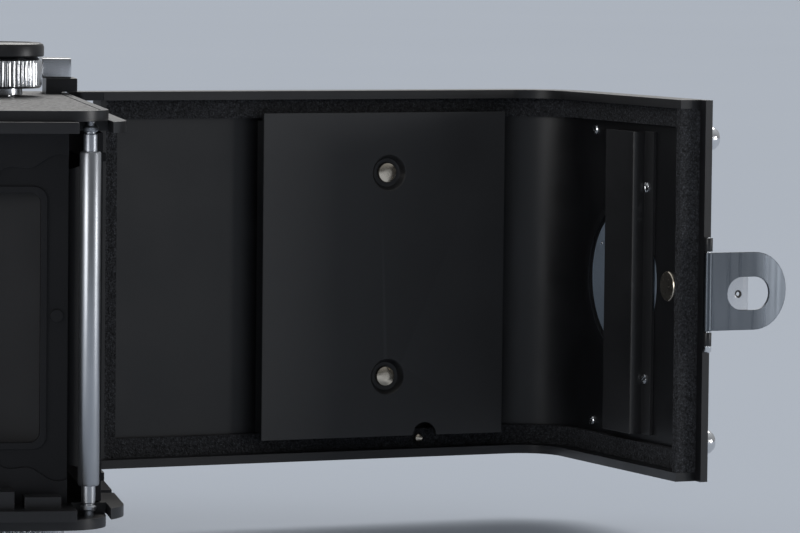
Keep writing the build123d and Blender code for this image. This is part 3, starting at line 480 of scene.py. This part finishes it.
def screw(name, centre, axis, facing, radius, height, slot_angle):
    """Domed screw head with a cut slot, on a face that looks along an axis (1) or against it (-1)."""
    top = facing * height
    dome = [(0.0, 0.0), (0.0, radius), (top * 0.45, radius), (top * 0.8, radius * 0.82),
            (top, radius * 0.45), (top, 0.0)]
    head = lathe(name, dome, centre, axis, 32)
    side, up, along = AXES[axis]
    direction = side * math.cos(slot_angle) + up * math.sin(slot_angle)
    across = along.cross(direction)
    work = bmesh.new()
    work.from_mesh(head.data)
    width = radius * 0.13
    for offset in (-width, width):
        bmesh.ops.bisect_plane(work, geom=work.verts[:] + work.edges[:] + work.faces[:],
                               plane_co=Vector(centre) + across * offset, plane_no=across)
    for vertex in work.verts:
        on_head = vertex.co - Vector(centre)
        in_slot = abs(on_head.dot(across)) < width * 0.5
        if in_slot and on_head.dot(along) * facing > height * 0.5:
            vertex.co -= along * (top * 0.35)
    bmesh.ops.recalc_face_normals(work, faces=work.faces)
    work.to_mesh(head.data)
    work.free()
    smooth_by_angle(head, 30.0)
    return head


# ---------------------------------------------------------------- CAD nodes that stay
for name, obj in nodes.items():
    obj.data.materials.clear()
    obj.data.materials.append(MATERIALS[slots_of[name]])


def shading_group():
    """Modifier nodes that shade a mesh smooth except past an angle."""
    group = bpy.data.node_groups.new("shade_by_angle", "GeometryNodeTree")
    group.interface.new_socket("Geometry", in_out="INPUT", socket_type="NodeSocketGeometry")
    group.interface.new_socket("Geometry", in_out="OUTPUT", socket_type="NodeSocketGeometry")
    source = group.nodes.new("NodeGroupInput")
    target = group.nodes.new("NodeGroupOutput")
    faces = group.nodes.new("GeometryNodeSetShadeSmooth")
    edges = group.nodes.new("GeometryNodeSetShadeSmooth")
    edges.domain = "EDGE"
    edges.inputs["Shade Smooth"].default_value = False
    angle = group.nodes.new("GeometryNodeInputMeshEdgeAngle")
    compare = group.nodes.new("FunctionNodeCompare")
    compare.data_type = "FLOAT"
    compare.operation = "GREATER_THAN"
    compare.inputs[1].default_value = math.radians(34.0)
    group.links.new(source.outputs[0], faces.inputs["Geometry"])
    group.links.new(faces.outputs[0], edges.inputs["Geometry"])
    group.links.new(angle.outputs["Unsigned Angle"], compare.inputs[0])
    group.links.new(compare.outputs["Result"], edges.inputs["Selection"])
    group.links.new(edges.outputs[0], target.inputs[0])
    return group


SHADING = shading_group()


def soften(node, width):
    """Round a CAD node's corners with modifiers and shade its curved faces smoothly."""
    obj = nodes[node]
    weld = obj.modifiers.new("weld", "WELD")
    weld.merge_threshold = 0.002 * MM
    planar = obj.modifiers.new("planar", "DECIMATE")
    planar.decimate_type = "DISSOLVE"
    planar.angle_limit = math.radians(0.8)
    rounding = obj.modifiers.new("rounding", "BEVEL")
    rounding.width = width * MM
    rounding.segments = 2
    rounding.limit_method = "ANGLE"
    rounding.angle_limit = math.radians(35.0)
    rounding.miter_outer = "MITER_ARC"
    shade = obj.modifiers.new("shade", "NODES")
    shade.node_group = SHADING
    flatten = obj.modifiers.new("flatten", "WEIGHTED_NORMAL")
    flatten.keep_sharp = True


# Width of the rounded corners of each node that stays, in mm.
KEPT = {"body_shell": 0.2, "film_gate": 0.12, "light_box": 0.1, "chamber_baffle": 0.12,
        "hood_base": 0.2, "lug_feet": 0.25, "strap_lugs": 0.3, "accessory_shoe": 0.2,
        "lens_board": 0.4, "board_covering": 0.1, "left_covering": 0.1, "right_covering": 0.1,
        "door_shell": 0.22, "door_covering": 0.12, "inner_cover": 0.12, "lock_disc": 0.2,
        "pressure_plate": 0.14, "hasp_catch": 0.1, "take_up_spool": 0.15,
        "shutter_housing": 0.3, "magnifier_arm": 0.12, "hinge_pin": 0.1, "mirror_glass": 0.1,
        "latch_stud": 0.15, "aperture_ring": 0.12, "speed_ring": 0.12, "cocking_lever": 0.15,
        "focusing_screen": 0.1, "release_button": 0.2, "plate_springs": 0.1, "guide_posts": 0.15}
for name, width in KEPT.items():
    soften(name, width)


# ---------------------------------------------------------------- rollers, studs and screws
def roller_profile(collared):
    """Half of a film roller from its middle outwards."""
    half = [(30.9, 2.0), (31.2, 1.85), (31.3, 1.3), (34.4, 1.3), (34.6, 1.0)]
    if collared:
        half += [(34.9, 1.0), (34.92, 1.3), (35.15, 1.5), (35.7, 1.5), (35.96, 1.3), (36.0, 1.0)]
    return half + [(37.7, 1.0), (38.0, 0.7), (38.0, 0.0)]


for label, centre, collared in (("lower", LOWER_ROLLER_AT, True), ("upper", UPPER_ROLLER_AT, False)):
    half = roller_profile(collared)
    profile = [(-along, radius) for along, radius in reversed(half)] + half
    place(lathe(label + "_roller_turned", profile, centre, "z", 48), label + "_roller_body",
          "polished_steel", (label + "_roller",))

stud_profile = [(-BACK_WALL, 0.0), (-BACK_WALL, 1.45), (-5.2, 1.45), (-5.22, 1.95), (-5.35, 2.15),
                (-5.6, 2.15), (-5.85, 2.0), (-6.02, 1.5), (-6.1, 0.8), (-6.1, 0.0)]
studs = [lathe("stud", stud_profile, (0, STUD_HEIGHT, side * STUD_HALF_GAP), "x", 40)
         for side in (-1, 1)]
place(join("plate_studs_turned", *studs), "back", "nickel", ("plate_studs",))

pin_profile = [(-BACK_WALL, 0.0), (-BACK_WALL, 0.95), (-3.9, 0.95), (-4.2, 0.8), (-4.38, 0.4), (-4.4, 0.0)]
place(lathe("guide_pin_turned", pin_profile, GUIDE_PIN_AT, "x", 32), "back", "nickel", ("guide_pin",))

cover_heads = [screw("cover_head", (-20.0, BACK_WALL, side * 31.0), "y", 1, 1.1, 0.6, side * 0.7)
               for side in (-1, 1)]
cover_heads += [screw("cover_head", (-44.9, 2.4, side * 20.0), "y", 1, 1.1, 0.5, 1.2 - side)
                for side in (-1, 1)]
place(join("cover_screw_heads", *cover_heads), "back", "chrome_trim", ("cover_screws",))

board_heads = [screw("board_head", (-75.9, y, z), "x", -1, 1.5, 0.6, y + z)
               for y in (24.6, 105.0) for z in (-19.0, 19.0)]
place(join("board_screw_heads", *board_heads), "standard", "chrome_trim", ("board_screws",))

foot_profile = [(0.5, 0.0), (0.5, 2.5), (-0.5, 2.5), (-1.2, 2.35), (-1.85, 1.85), (-2.25, 1.1),
                (-2.4, 0.4), (-2.4, 0.0)]
feet = [lathe("foot", foot_profile, (x, 0, z), "y", 36) for x in (-66.4, -15.5) for z in (-31.1, 31.1)]
place(join("door_feet_domed", *feet), "back", "chrome_trim", ("door_feet",))

rivet_profile = [(BACK_WALL, 0.0), (BACK_WALL, 3.1), (1.8, 3.1), (1.95, 2.95), (2.08, 2.5),
                 (2.16, 1.7), (2.2, 0.8), (2.2, 0.0)]
place(lathe("latch_rivet_spun", rivet_profile, RIVET_AT, "y", 40), "back", "nickel",
      ("latch_rivet",))

BALL_R = 0.4
ball_arc = arc((0, BALL_Y), BALL_R, -75, 75, 10)
ball_profile = [(BALL_Y - BALL_R, 0.0)] + [(y, r) for r, y in ball_arc] + [(BALL_Y + BALL_R, 0.0)]
place(lathe("detent_ball", ball_profile, (LOCK_X + 10.6, 0, 7.0), "y", 24), "lock", "chrome_trim")

latch_pin_profile = [(-12.4, 0.0), (-12.4, 0.5), (-12.2, 0.8), (-12.0, 0.85), (-11.1, 0.85),
                     (-11.1, 0.45), (11.1, 0.45), (11.2, 0.35), (11.2, 0.0)]
place(lathe("latch_pin_turned", latch_pin_profile, LATCH_PIN_AT, "z", 24), "back", "chrome_trim",
      ("latch_pin",))

# ---------------------------------------------------------------- latch hasp
HASP_BEND, HASP_FLARE = -9.3, math.radians(13.0)
FLARE_RUN = 8.0                    # length over which the flare builds up
HASP_HALF = 8.0                    # half the width, and the radius of the round tip
SLOT_Z, SLOT_R = -0.5, 3.4
CATCH_Z = -0.6


def hasp_point(x, y, z):
    """Where a point of the flat hasp goes when its tip is flared away from the catch."""
    run = max(0.0, HASP_BEND - y)
    angle = HASP_FLARE * min(1.0, run / FLARE_RUN)
    return Vector((x + 0.5 * run * math.sin(angle), y, z))


outline = [(-HASP_HALF, 1.3), (HASP_HALF, 1.3), (HASP_HALF, HASP_BEND)]
outline += arc((0, HASP_BEND), HASP_HALF, 0, -180, 24)[1:]
window = arc((SLOT_Z, -9.6), SLOT_R, 0, -180, 12) + arc((SLOT_Z, -6.6), SLOT_R, 180, 0, 12)
hasp = pierced_sheet("hasp_plate", outline, window, 0.6, 0.12)
work = bmesh.new()
work.from_mesh(hasp.data)
for step in range(12):
    bmesh.ops.bisect_plane(work, geom=work.verts[:] + work.edges[:] + work.faces[:],
                           plane_co=Vector((0, HASP_BEND - step * 0.66, 0)), plane_no=Vector((0, 1, 0)))
for vertex in work.verts:
    side, up, out = vertex.co
    vertex.co = hasp_point(HASP_PLANE + out, up, side)
bmesh.ops.recalc_face_normals(work, faces=work.faces)
work.to_mesh(hasp.data)
work.free()
smooth_by_angle(hasp, 30.0)
curl_profile = [(-HASP_HALF, 0.46), (-HASP_HALF, 0.8), (-7.95, 0.85), (7.95, 0.85), (HASP_HALF, 0.8),
                (HASP_HALF, 0.46)]
curl = lathe("hasp_curl", curl_profile, LATCH_PIN_AT, "z", 32)
place(join("latch_hasp_pressed", hasp, curl), "hasp", "satin_steel", ("latch_hasp",))
collar_profile = [(-69.5, 0.74), (-69.52, 0.6), (-69.4, 0.45), (-69.1, 0.42), (-69.1, 0.74)]
place(lathe("catch_collar", collar_profile, (0, -6.0, CATCH_Z), "x", 24), "hasp", "spool_black")

# ---------------------------------------------------------------- knobs
# Profiles run along z: the right-hand knobs stand on their faces at z = -53.
wind_profile = [(-26.0, 0.0), (-26.0, 2.5), (-26.3, 2.83), (-39.4, 2.83), (-39.4, 7.8), (-39.6, 8.0),
                (-41.0, 8.0), (-41.0, 12.3), (-41.5, 12.6), (-41.6, 13.0, 1), (-51.6, 13.0, 1),
                (-51.8, 12.6), (-52.5, 12.4), (-53.0, 11.9), (-53.0, 9.4), (-52.75, 9.1), (-52.75, 0.0)]
place(lathe("wind_knob_knurled", wind_profile, TAKE_UP_AXIS, "z", teeth=64, depth=0.55), "winder",
      "chrome_trim", ("wind_knob",))
focus_profile = [(-32.0, 0.0), (-32.0, 2.7), (-32.3, 3.0), (-39.4, 3.0), (-39.4, 8.8), (-39.6, 9.0),
                 (-41.0, 9.0), (-41.0, 14.3), (-41.4, 14.7), (-43.6, 14.7), (-43.8, 15.0, 1),
                 (-51.4, 15.0, 1), (-51.6, 14.6), (-52.4, 14.4), (-53.0, 13.8), (-53.0, 11.0),
                 (-52.7, 10.7), (-52.7, 0.0)]
place(lathe("focus_knob_knurled", focus_profile, FOCUS_AXIS, "z", teeth=76, depth=0.55), "focuser",
      "chrome_trim", ("focus_knob",))

for label, centre, tip in (("upper", TAKE_UP_AXIS, 26.0), ("lower", SUPPLY_AXIS, 28.0)):
    barrel = [(tip, 0.0), (tip, 2.3), (tip + 0.5, 2.83), (39.2, 2.83), (39.2, 4.1), (39.3, 4.2),
              (40.6, 4.2), (40.6, 7.6), (41.0, 8.0), (41.3, 8.1, 1), (45.6, 8.1, 1), (46.1, 7.9),
              (46.6, 7.4), (46.9, 6.9), (46.9, 0.0)]
    place(lathe(label + "_knob_knurled", barrel, centre, "z", teeth=56, depth=0.22), label + "_knob",
          "chrome_trim", (label + "_spool_knob",))
    cap = [(46.9, 0.0), (46.9, 8.3), (47.1, 8.5), (48.9, 8.5), (49.4, 8.25), (49.7, 7.6), (49.7, 6.2),
           (49.45, 6.0), (49.45, 5.6), (49.6, 5.4), (49.6, 0.0)]
    place(lathe(label + "_cap_turned", cap, centre, "z", 72), label + "_knob", "body_black",
          (label + "_knob_cap",))


# ---------------------------------------------------------------- lenses
def stepped_cone(x_front, r_front, x_back, r_back, steps):
    """Anti-reflection steps inside the front of a lens barrel."""
    points = []
    for step in range(steps):
        x_here = x_front + (x_back - x_front) * step / steps
        x_next = x_front + (x_back - x_front) * (step + 1) / steps
        radius = r_front + (r_back - r_front) * step / steps
        points += [(x_here, radius), (x_next - 0.05, radius - 0.06)]
    return points + [(x_back, r_back)]


viewing = [(-68.8, 11.6), (-68.8, 12.95), (-75.5, 12.95), (-75.5, 18.2), (-79.2, 18.2), (-79.5, 17.9),
           (-79.5, 16.0), (-79.9, 15.5), (-82.0, 15.5), (-82.2, 15.3), (-82.6, 15.3), (-82.8, 15.5),
           (-88.8, 15.5), (BARREL_FRONT, 15.3)] + stepped_cone(BARREL_FRONT, 14.5, -84.4, 11.6, 5)
place(lathe("viewing_barrel_turned", viewing, (0, VIEWING_Y, 0), "x", 96), "standard", "chrome_trim",
      ("viewing_barrel",))
taking = [(-81.0, 11.6), (-81.0, 15.5), (-83.6, 15.5), (-83.8, 15.3), (-84.2, 15.3), (-84.4, 15.5),
          (-88.8, 15.5), (BARREL_FRONT, 15.3)] + stepped_cone(BARREL_FRONT, 14.5, -85.4, 11.6, 4)
place(lathe("taking_barrel_turned", taking, (0, TAKING_Y, 0), "x", 96), "standard", "chrome_trim",
      ("taking_barrel",))
for label, y, back in (("viewing", VIEWING_Y, -84.5), ("taking", TAKING_Y, -85.5)):
    liner = [(-88.7, 14.4), (-88.72, 14.25)] + stepped_cone(-88.5, 14.0, back, 11.75, 6) + [(back, 11.9)]
    place(lathe(label + "_liner", liner, (0, y, 0), "x", 96), "standard", "spool_black")

bayonet = [(-86.4, 15.5), (-86.4, 16.8), (-86.55, 17.0), (-87.1, 17.0), (-87.2, 16.5), (-88.1, 16.5),
           (-88.2, 17.0), (-88.85, 17.0), (BARREL_FRONT, 16.8), (BARREL_FRONT, 15.5)]
bayonets = [lathe("bayonet", bayonet, (0, y, 0), "x", 96) for y in (TAKING_Y, VIEWING_Y)]
place(join("filter_bayonets_turned", *bayonets), "standard", "chrome_trim", ("filter_bayonets",))


GLASS_R, HOLLOW = 11.5, 0.5


def glass(front, back, bulge, y):
    """A lens element, domed in front and gently hollow behind."""
    face = [(front + bulge * (r / GLASS_R) ** 2, r) for r in (0.0, 3.0, 6.0, 9.0, 10.8, GLASS_R)]
    rear = [(back - HOLLOW * (1 - (r / GLASS_R) ** 2), r) for r in (GLASS_R, 9.0, 6.0, 3.0, 0.0)]
    return lathe("element", face + rear, (0, y, 0), "x", 72)


for label, y, front, back in (("taking", TAKING_Y, -85.4, -82.4), ("viewing", VIEWING_Y, -84.4, -81.0)):
    elements = [glass(front, back, 1.6, y), glass(-73.0, -70.6, 0.7, y)]
    place(join(label + "_elements", *elements), "standard", "lens_glass", (label + "_glass",))

MAGNIFIER_R = 11.4
magnifier = [(-65.75 + 0.5 * (r / MAGNIFIER_R) ** 2, r) for r in (0.0, 4.0, 8.0, MAGNIFIER_R)]
magnifier += [(-64.25 - 0.5 * (r / MAGNIFIER_R) ** 2, r) for r in (MAGNIFIER_R, 8.0, 4.0, 0.0)]
place(lathe("magnifier_element", magnifier, MAGNIFIER_AT, "x", 72), "magnifier", "lens_glass",
      ("magnifier_lens",))

# Ten overlapping iris leaves close the taking lens down to the opening behind the glass.
IRIS_COUNT, IRIS_R, IRIS_OPENING = 10, 11.3, 4.1
IRIS_FRONT, IRIS_STEP, IRIS_SHEET = -78.98, 0.012, 0.03
iris = []
for count in range(IRIS_COUNT):
    turn = 360.0 * count / IRIS_COUNT
    outer = arc((TAKING_Y, 0), IRIS_R, turn, turn + 60, 10)
    inner = arc((TAKING_Y, 0), IRIS_OPENING, turn + 50, turn - 10, 2)
    front = IRIS_FRONT + IRIS_STEP * (2 * (count % 5) + count // 5)
    iris.append(prism("iris_leaf", outer + inner, "x", front, front + IRIS_SHEET))
disc_profile = [(-77.4, 0.0), (-77.4, GLASS_R), (-77.1, GLASS_R), (-77.1, 0.0)]
shutter_disc = lathe("shutter_disc", disc_profile, (0, TAKING_Y, 0), "x", 48)
place(join("iris_and_shutter", shutter_disc, *iris), "standard", "spool_black", ("shutter_blades",))

DIAL_FACE, DIAL_R = -81.02, 18.1


def dial(prefix, figures, start, step, size):
    """Figures round the front of the shutter housing; start and step are in degrees."""
    for count, figure in enumerate(figures):
        angle = math.radians(start + step * count)
        outward = Vector((0, math.cos(angle), math.sin(angle)))
        across = outward.cross(Vector((-1, 0, 0)))
        centre = Vector((DIAL_FACE, TAKING_Y, 0)) + outward * DIAL_R
        place(lettering(f"{prefix}_{count}", figure, size, centre, -across, outward), "standard",
              "chrome_trim")


dial("aperture_figure", ("3.5", "4", "5.6", "8", "11", "16", "22"), 25, 13, 2.0)
dial("speed_figure", ("B", "1", "2", "5", "10", "25", "50", "100", "300"), -25, -13, 1.8)


# ---------------------------------------------------------------- hood leaves
LEAF_BORDER = 2.6
EAR_CLEARANCE = 1.15               # height over the hinge where the sheet may pass the ears
RIB_LEVELS, RIB_HALF, RIB_INSET = (0.36, 0.66), 0.7, 6.0
KNUCKLE_SPANS = ((0.0, 0.22), (0.39, 0.61), (0.78, 1.0))


def leaf_sheet(name, sheet, knuckles, foot, face, turned):
    """Pressed hood leaf: a thin sheet with a raised border, two ribs and three hinge knuckles.

    sheet and knuckles are the two spans along the hinge; the sheet is wider above the ears.
    foot is the hinge's height, face the plane of the leaf, turned a leaf that lies along z.
    """
    def plate(a0, a1, y0, y1, half, edge):
        if turned:
            return slab(name, (face - half, y0, a0), (face + half, y1, a1), edge)
        return slab(name, (a0, y0, face - half), (a1, y1, face + half), edge)

    top, start = foot + LEAF_REACH, foot + EAR_CLEARANCE
    outer, inner = LEAF_THICKNESS / 2, LEAF_THICKNESS / 4
    sheet_low, sheet_high = sheet
    inside_low, inside_high = sheet_low + LEAF_BORDER, sheet_high - LEAF_BORDER
    along_low, along_high = knuckles
    pieces = [plate(sheet_low + 0.2, sheet_high - 0.2, start, top - 0.2, inner, 0.05),
              plate(along_low + 0.2, along_high - 0.2, foot + 0.2, start + 0.4, inner, 0.05),
              plate(sheet_low, inside_low, start, top, outer, 0.18),
              plate(inside_high, sheet_high, start, top, outer, 0.18),
              plate(inside_low, inside_high, top - LEAF_BORDER, top, outer, 0.18),
              plate(inside_low, inside_high, start, start + LEAF_BORDER, outer, 0.18)]
    for level in RIB_LEVELS:
        middle = foot + LEAF_REACH * level
        pieces.append(plate(along_low + RIB_INSET, along_high - RIB_INSET, middle - RIB_HALF,
                            middle + RIB_HALF, outer, 0.25))
    length = along_high - along_low
    radius = 0.6 if turned else 0.7
    for first, last in KNUCKLE_SPANS:
        profile = [(along_low + length * first, 0.0), (along_low + length * first, radius),
                   (along_low + length * last, radius), (along_low + length * last, 0.0)]
        centre = (face, foot, 0) if turned else (0, foot, face)
        pieces.append(lathe(name, profile, centre, "z" if turned else "x", 24))
    return join(name, *pieces)


def mirrored_slabs(name, low, high, near, far, edge):
    """Two equal boxes between (x, y) corners, from near to far on each side of the middle."""
    return [slab(name, (*low, min(side * near, side * far)), (*high, max(side * near, side * far)), edge)
            for side in (-1, 1)]


SIDE_SPANS = ((-63.4, -14.2), (-63.4, -15.0))
END_SPANS = ((-31.2, 31.2), (-30.6, 30.6))
for label, (sheet, knuckles), foot, face, turned in (
        ("left", SIDE_SPANS, 117.2, 31.9, False), ("right", SIDE_SPANS, 118.4, -31.9, False),
        ("rear", END_SPANS, 119.8, -13.2, True), ("front", END_SPANS, 124.4, -66.6, True)):
    pressed = leaf_sheet("hood_" + label + "_pressed", sheet, knuckles, foot, face, turned)
    if label == "front":
        # ears of the magnifier, and flanges that close the corners towards the side leaves
        ears = mirrored_slabs("ear", (-66.2, 165.4), (-65.0, 166.6), 15.3, 16.3, 0.2)
        flanges = mirrored_slabs("flange", (face, foot + EAR_CLEARANCE), (-63.8, foot + LEAF_REACH),
                                 30.8, 31.2, 0.1)
        pressed = join("hood_front_pressed", pressed, *ears, *flanges)
    place(pressed, "leaf_" + label, "body_black", ("hood_" + label,))

# ---------------------------------------------------------------- tripod socket
THREAD_PITCH = 1.27
socket = [(3.8, 0.0), (3.8, 4.2), (3.6, 4.4), (-0.7, 4.4), (-0.9, 4.2), (-0.9, 3.2)]
for turn in range(3):
    start = -0.6 + THREAD_PITCH * turn
    socket += [(start, 3.15), (start + 0.4, 2.6), (start + 0.6, 2.6), (start + 1.0, 3.15)]
socket += [(3.7, 2.9), (3.7, 0.0)]
place(lathe("tripod_socket_threaded", socket, SOCKET_AT, "y", 64), "back", "polished_steel",
      ("tripod_socket",))


# ---------------------------------------------------------------- foam seal
def grain(point):
    """Depth of the foam's open cells at a point in mm, from 0 on the crumbs to 1 in the pores."""
    middle = noise.noise(point * 1.9 + Vector((7, 3, 1)))
    fine = noise.noise(point * 3.3 + Vector((2, 9, 5)))
    return min(1.0, max(0.0, 0.45 + 0.45 * middle + 0.55 * fine))


def rectangle_loop(a0, a1, b0, b1, step):
    """Evenly sampled rectangle, going round from (a0, b0)."""
    loop = []
    for (ax, bx), (ay, by) in zip(((a0, b0), (a1, b0), (a1, b1), (a0, b1)),
                                  ((a1, b0), (a1, b1), (a0, b1), (a0, b0))):
        count = max(1, round(math.hypot(ay - ax, by - bx) / step))
        loop += [(ax + (ay - ax) * i / count, bx + (by - bx) * i / count) for i in range(count)]
    return loop


CORNER_REACH = 1.2                 # past this distance from a strip's middle it only sinks in height


def foam_strip(name, loop, stations, middle, depth):
    """Sweep a loop of (side, up) through stations (origin, side, up) and roughen it inwards."""
    work = bmesh.new()
    rings = []
    centre_a, centre_b = middle
    for origin, side, up in stations:
        ring = []
        for a, b in loop:
            point = origin + side * a + up * b
            inward = side * (centre_a - a) + up * (centre_b - b)
            if abs(centre_a - a) > CORNER_REACH:
                inward = up * (centre_b - b)
            ring.append(work.verts.new(point + inward.normalized() * (depth * grain(point))))
        rings.append(ring)
    for first, second in zip(rings, rings[1:]):
        for i in range(len(loop)):
            j = (i + 1) % len(loop)
            work.faces.new((first[i], first[j], second[j], second[i]))
    work.faces.new(rings[0])
    work.faces.new(list(reversed(rings[-1])))
    return new_object(name, work)


# The strips lie on the inner face: two along the sides, one at the hinge and one at the lip.
CELL = 0.27
CELL_DEPTH = 0.22
FOAM_TOP, FOAM_MIDDLE = 3.2, 2.4
SIDE_FOAM, SIDE_FOAM_WIDTH = 37.2, 4.0
HINGE_FOAM, HINGE_FOAM_CENTRE = (104.2, 107.4), (105.8, FOAM_MIDDLE)
LIP_FOAM, LIP_FOAM_TOP, LIP_FOAM_CENTRE = (-67.1, -65.2), 6.6, (-66.15, 4.1)
MEAN_BEND = 12.0                   # radius that the bend's sampling is worked out from


def back_path(step):
    """Stations along the inside of the back, from the hinge round the bend to the front."""
    stations = []
    height = HINGE_FOAM[1] - BACK_BEND
    count = round(height / step)
    for i in range(count):
        stations.append((Vector((0, HINGE_FOAM[1] - height * i / count, 0)), Vector((-1, 0, 0))))
    count = round(math.pi / 2 * MEAN_BEND / step)
    for i in range(count):
        angle = math.pi / 2 * i / count
        inward = Vector((-math.cos(angle), math.sin(angle), 0))
        stations.append((Vector((-BACK_BEND, BACK_BEND, 0)) - inward * BACK_BEND, inward))
    depth = -LIP_FOAM[1] - BACK_BEND
    count = round(depth / step)
    for i in range(count + 1):
        stations.append((Vector((-BACK_BEND - depth * i / count, 0, 0)), Vector((0, 1, 0))))
    return stations


def across_path(half, step, side, up):
    """Stations straight across the back."""
    count = round(2 * half / step)
    return [(Vector((0, 0, -half + 2 * half * i / count)), side, up) for i in range(count + 1)]


def block_strip(low, high, top, middle, stations):
    """Foam strip with a rectangular section that stands on the back's inner face."""
    loop = rectangle_loop(low, high, BACK_WALL, top, CELL)
    return foam_strip("foam", loop, stations, middle, CELL_DEPTH)


SIDEWAYS, OUTWARD, UPWARD = Vector((0, 0, 1)), Vector((1, 0, 0)), Vector((0, 1, 0))
along_back = [(origin, SIDEWAYS, inward) for origin, inward in back_path(CELL)]
across_lip = across_path(SIDE_FOAM, CELL, OUTWARD, UPWARD)
across_hinge = across_path(SIDE_FOAM - SIDE_FOAM_WIDTH, CELL, UPWARD, -OUTWARD)
strips = []
for low in (-SIDE_FOAM, SIDE_FOAM - SIDE_FOAM_WIDTH):
    centre = (low + SIDE_FOAM_WIDTH / 2, FOAM_MIDDLE)
    strips.append(block_strip(low, low + SIDE_FOAM_WIDTH, FOAM_TOP, centre, along_back))
strips.append(block_strip(*LIP_FOAM, LIP_FOAM_TOP, LIP_FOAM_CENTRE, across_lip))
strips.append(block_strip(*HINGE_FOAM, FOAM_TOP, HINGE_FOAM_CENTRE, across_hinge))
foam = join("foam_seal_grained", *strips)
place(foam, "back", "light_seal_foam", ("foam_seal",))

# ---------------------------------------------------------------- stage, light and camera
floor_material, floor_tree, floor_shader = new_material("floor", (0.44, 0.478, 0.54), 0.95, specular=0.0)
mottle = noise_node(floor_tree, coordinates(floor_tree), 1.5, 2.0)
mottle_stops = ((0.3, (0.437, 0.475, 0.537)), (0.7, (0.443, 0.481, 0.543)))
floor_tree.links.new(ramp_node(floor_tree, mottle, mottle_stops), floor_shader.inputs["Base Color"])
bpy.ops.mesh.primitive_plane_add(size=30.0)
floor = bpy.context.object
floor.name = "floor"
floor.data.materials.append(floor_material)
floor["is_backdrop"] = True

# The room is dark behind the camera, bright above and behind the object.
ROOM_FRONT, ROOM_BACK, ROOM_TOP = 0.04, 0.32, 0.36
world = bpy.data.worlds.new("soft_studio")
bpy.context.scene.world = world
world.use_nodes = True
sky = world.node_tree
background = sky.nodes["Background"]
background.inputs["Color"].default_value = (0.94, 0.97, 1.0, 1.0)
direction = add_node(sky, "ShaderNodeSeparateXYZ")
sky.links.new(add_node(sky, "ShaderNodeTexCoord").outputs["Generated"], direction.inputs["Vector"])
room = add_node(sky, "ShaderNodeMath", operation="ADD")
sky.links.new(map_node(sky, direction.outputs["Y"], -0.9, 0.5, ROOM_FRONT, ROOM_BACK), room.inputs[0])
sky.links.new(map_node(sky, direction.outputs["Z"], 0.0, 1.0, 0.0, ROOM_TOP), room.inputs[1])
sky.links.new(room.outputs["Value"], background.inputs["Strength"])


def softbox(name, at, towards, size, power):
    """A square area light at a point, facing another."""
    light = bpy.data.lights.new(name, "AREA")
    light.size = size
    light.energy = power
    light.spread = math.radians(70.0)
    obj = bpy.data.objects.new(name, light)
    bpy.context.scene.collection.objects.link(obj)
    obj.location = at
    obj.rotation_mode = "QUATERNION"
    obj.rotation_quaternion = (towards - at).to_track_quat("-Z", "Y")


# A small light on the right for the hasp's tip, and one on the left for the back's bend.
HASP_TIP = OPENED @ (Vector((-70.0, -12.0, 0.0)) * MM)
BEND = OPENED @ (Vector((-5.0, 5.0, 0.0)) * MM)
softbox("right_light", HASP_TIP + Vector((0.90, -0.46, 0.10)), HASP_TIP, size=0.30, power=0.36)
softbox("left_light", BEND + Vector((-0.72, -0.69, 0.16)), BEND, size=0.42, power=0.3)

# The key light stands behind the object, so that its shadow falls towards the camera.
key = bpy.data.lights.new("key_light", "SUN")
key.energy = 2.1
key.angle = math.radians(48.0)
key.color = (1.0, 0.98, 0.95)
key_object = bpy.data.objects.new("key_light", key)
bpy.context.scene.collection.objects.link(key_object)
key_object.rotation_mode = "QUATERNION"
key_object.rotation_quaternion = Vector((-0.15, -0.62, -0.77)).to_track_quat("-Z", "Y")

# A long lens about 0.9 m away, looking down by 4 degrees and turned 9 degrees to the right.
CAMERA_AT = SHUT @ (Vector((-96.5, -905.9, 74.0)) * MM)
CAMERA_YAW = math.radians(8.95)
CAMERA_PITCH = math.radians(3.95)
CAMERA_ROLL = math.radians(0.61)
camera_data = bpy.data.cameras.new("camera")
camera_data.lens = 223.0
camera_data.sensor_width = 36.0
camera_data.clip_start = 0.05
camera_data.clip_end = 60.0
camera = bpy.data.objects.new("camera", camera_data)
bpy.context.scene.collection.objects.link(camera)
look = Vector((math.sin(CAMERA_YAW) * math.cos(CAMERA_PITCH),
               math.cos(CAMERA_YAW) * math.cos(CAMERA_PITCH), -math.sin(CAMERA_PITCH)))
camera.rotation_mode = "QUATERNION"
camera.rotation_quaternion = (Matrix.Rotation(-CAMERA_ROLL, 4, look)
                              @ look.to_track_quat("-Z", "Y").to_matrix().to_4x4()).to_quaternion()
camera.location = CAMERA_AT
bpy.context.scene.camera = camera
bpy.context.scene.view_settings.view_transform = "Standard"

low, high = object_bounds()
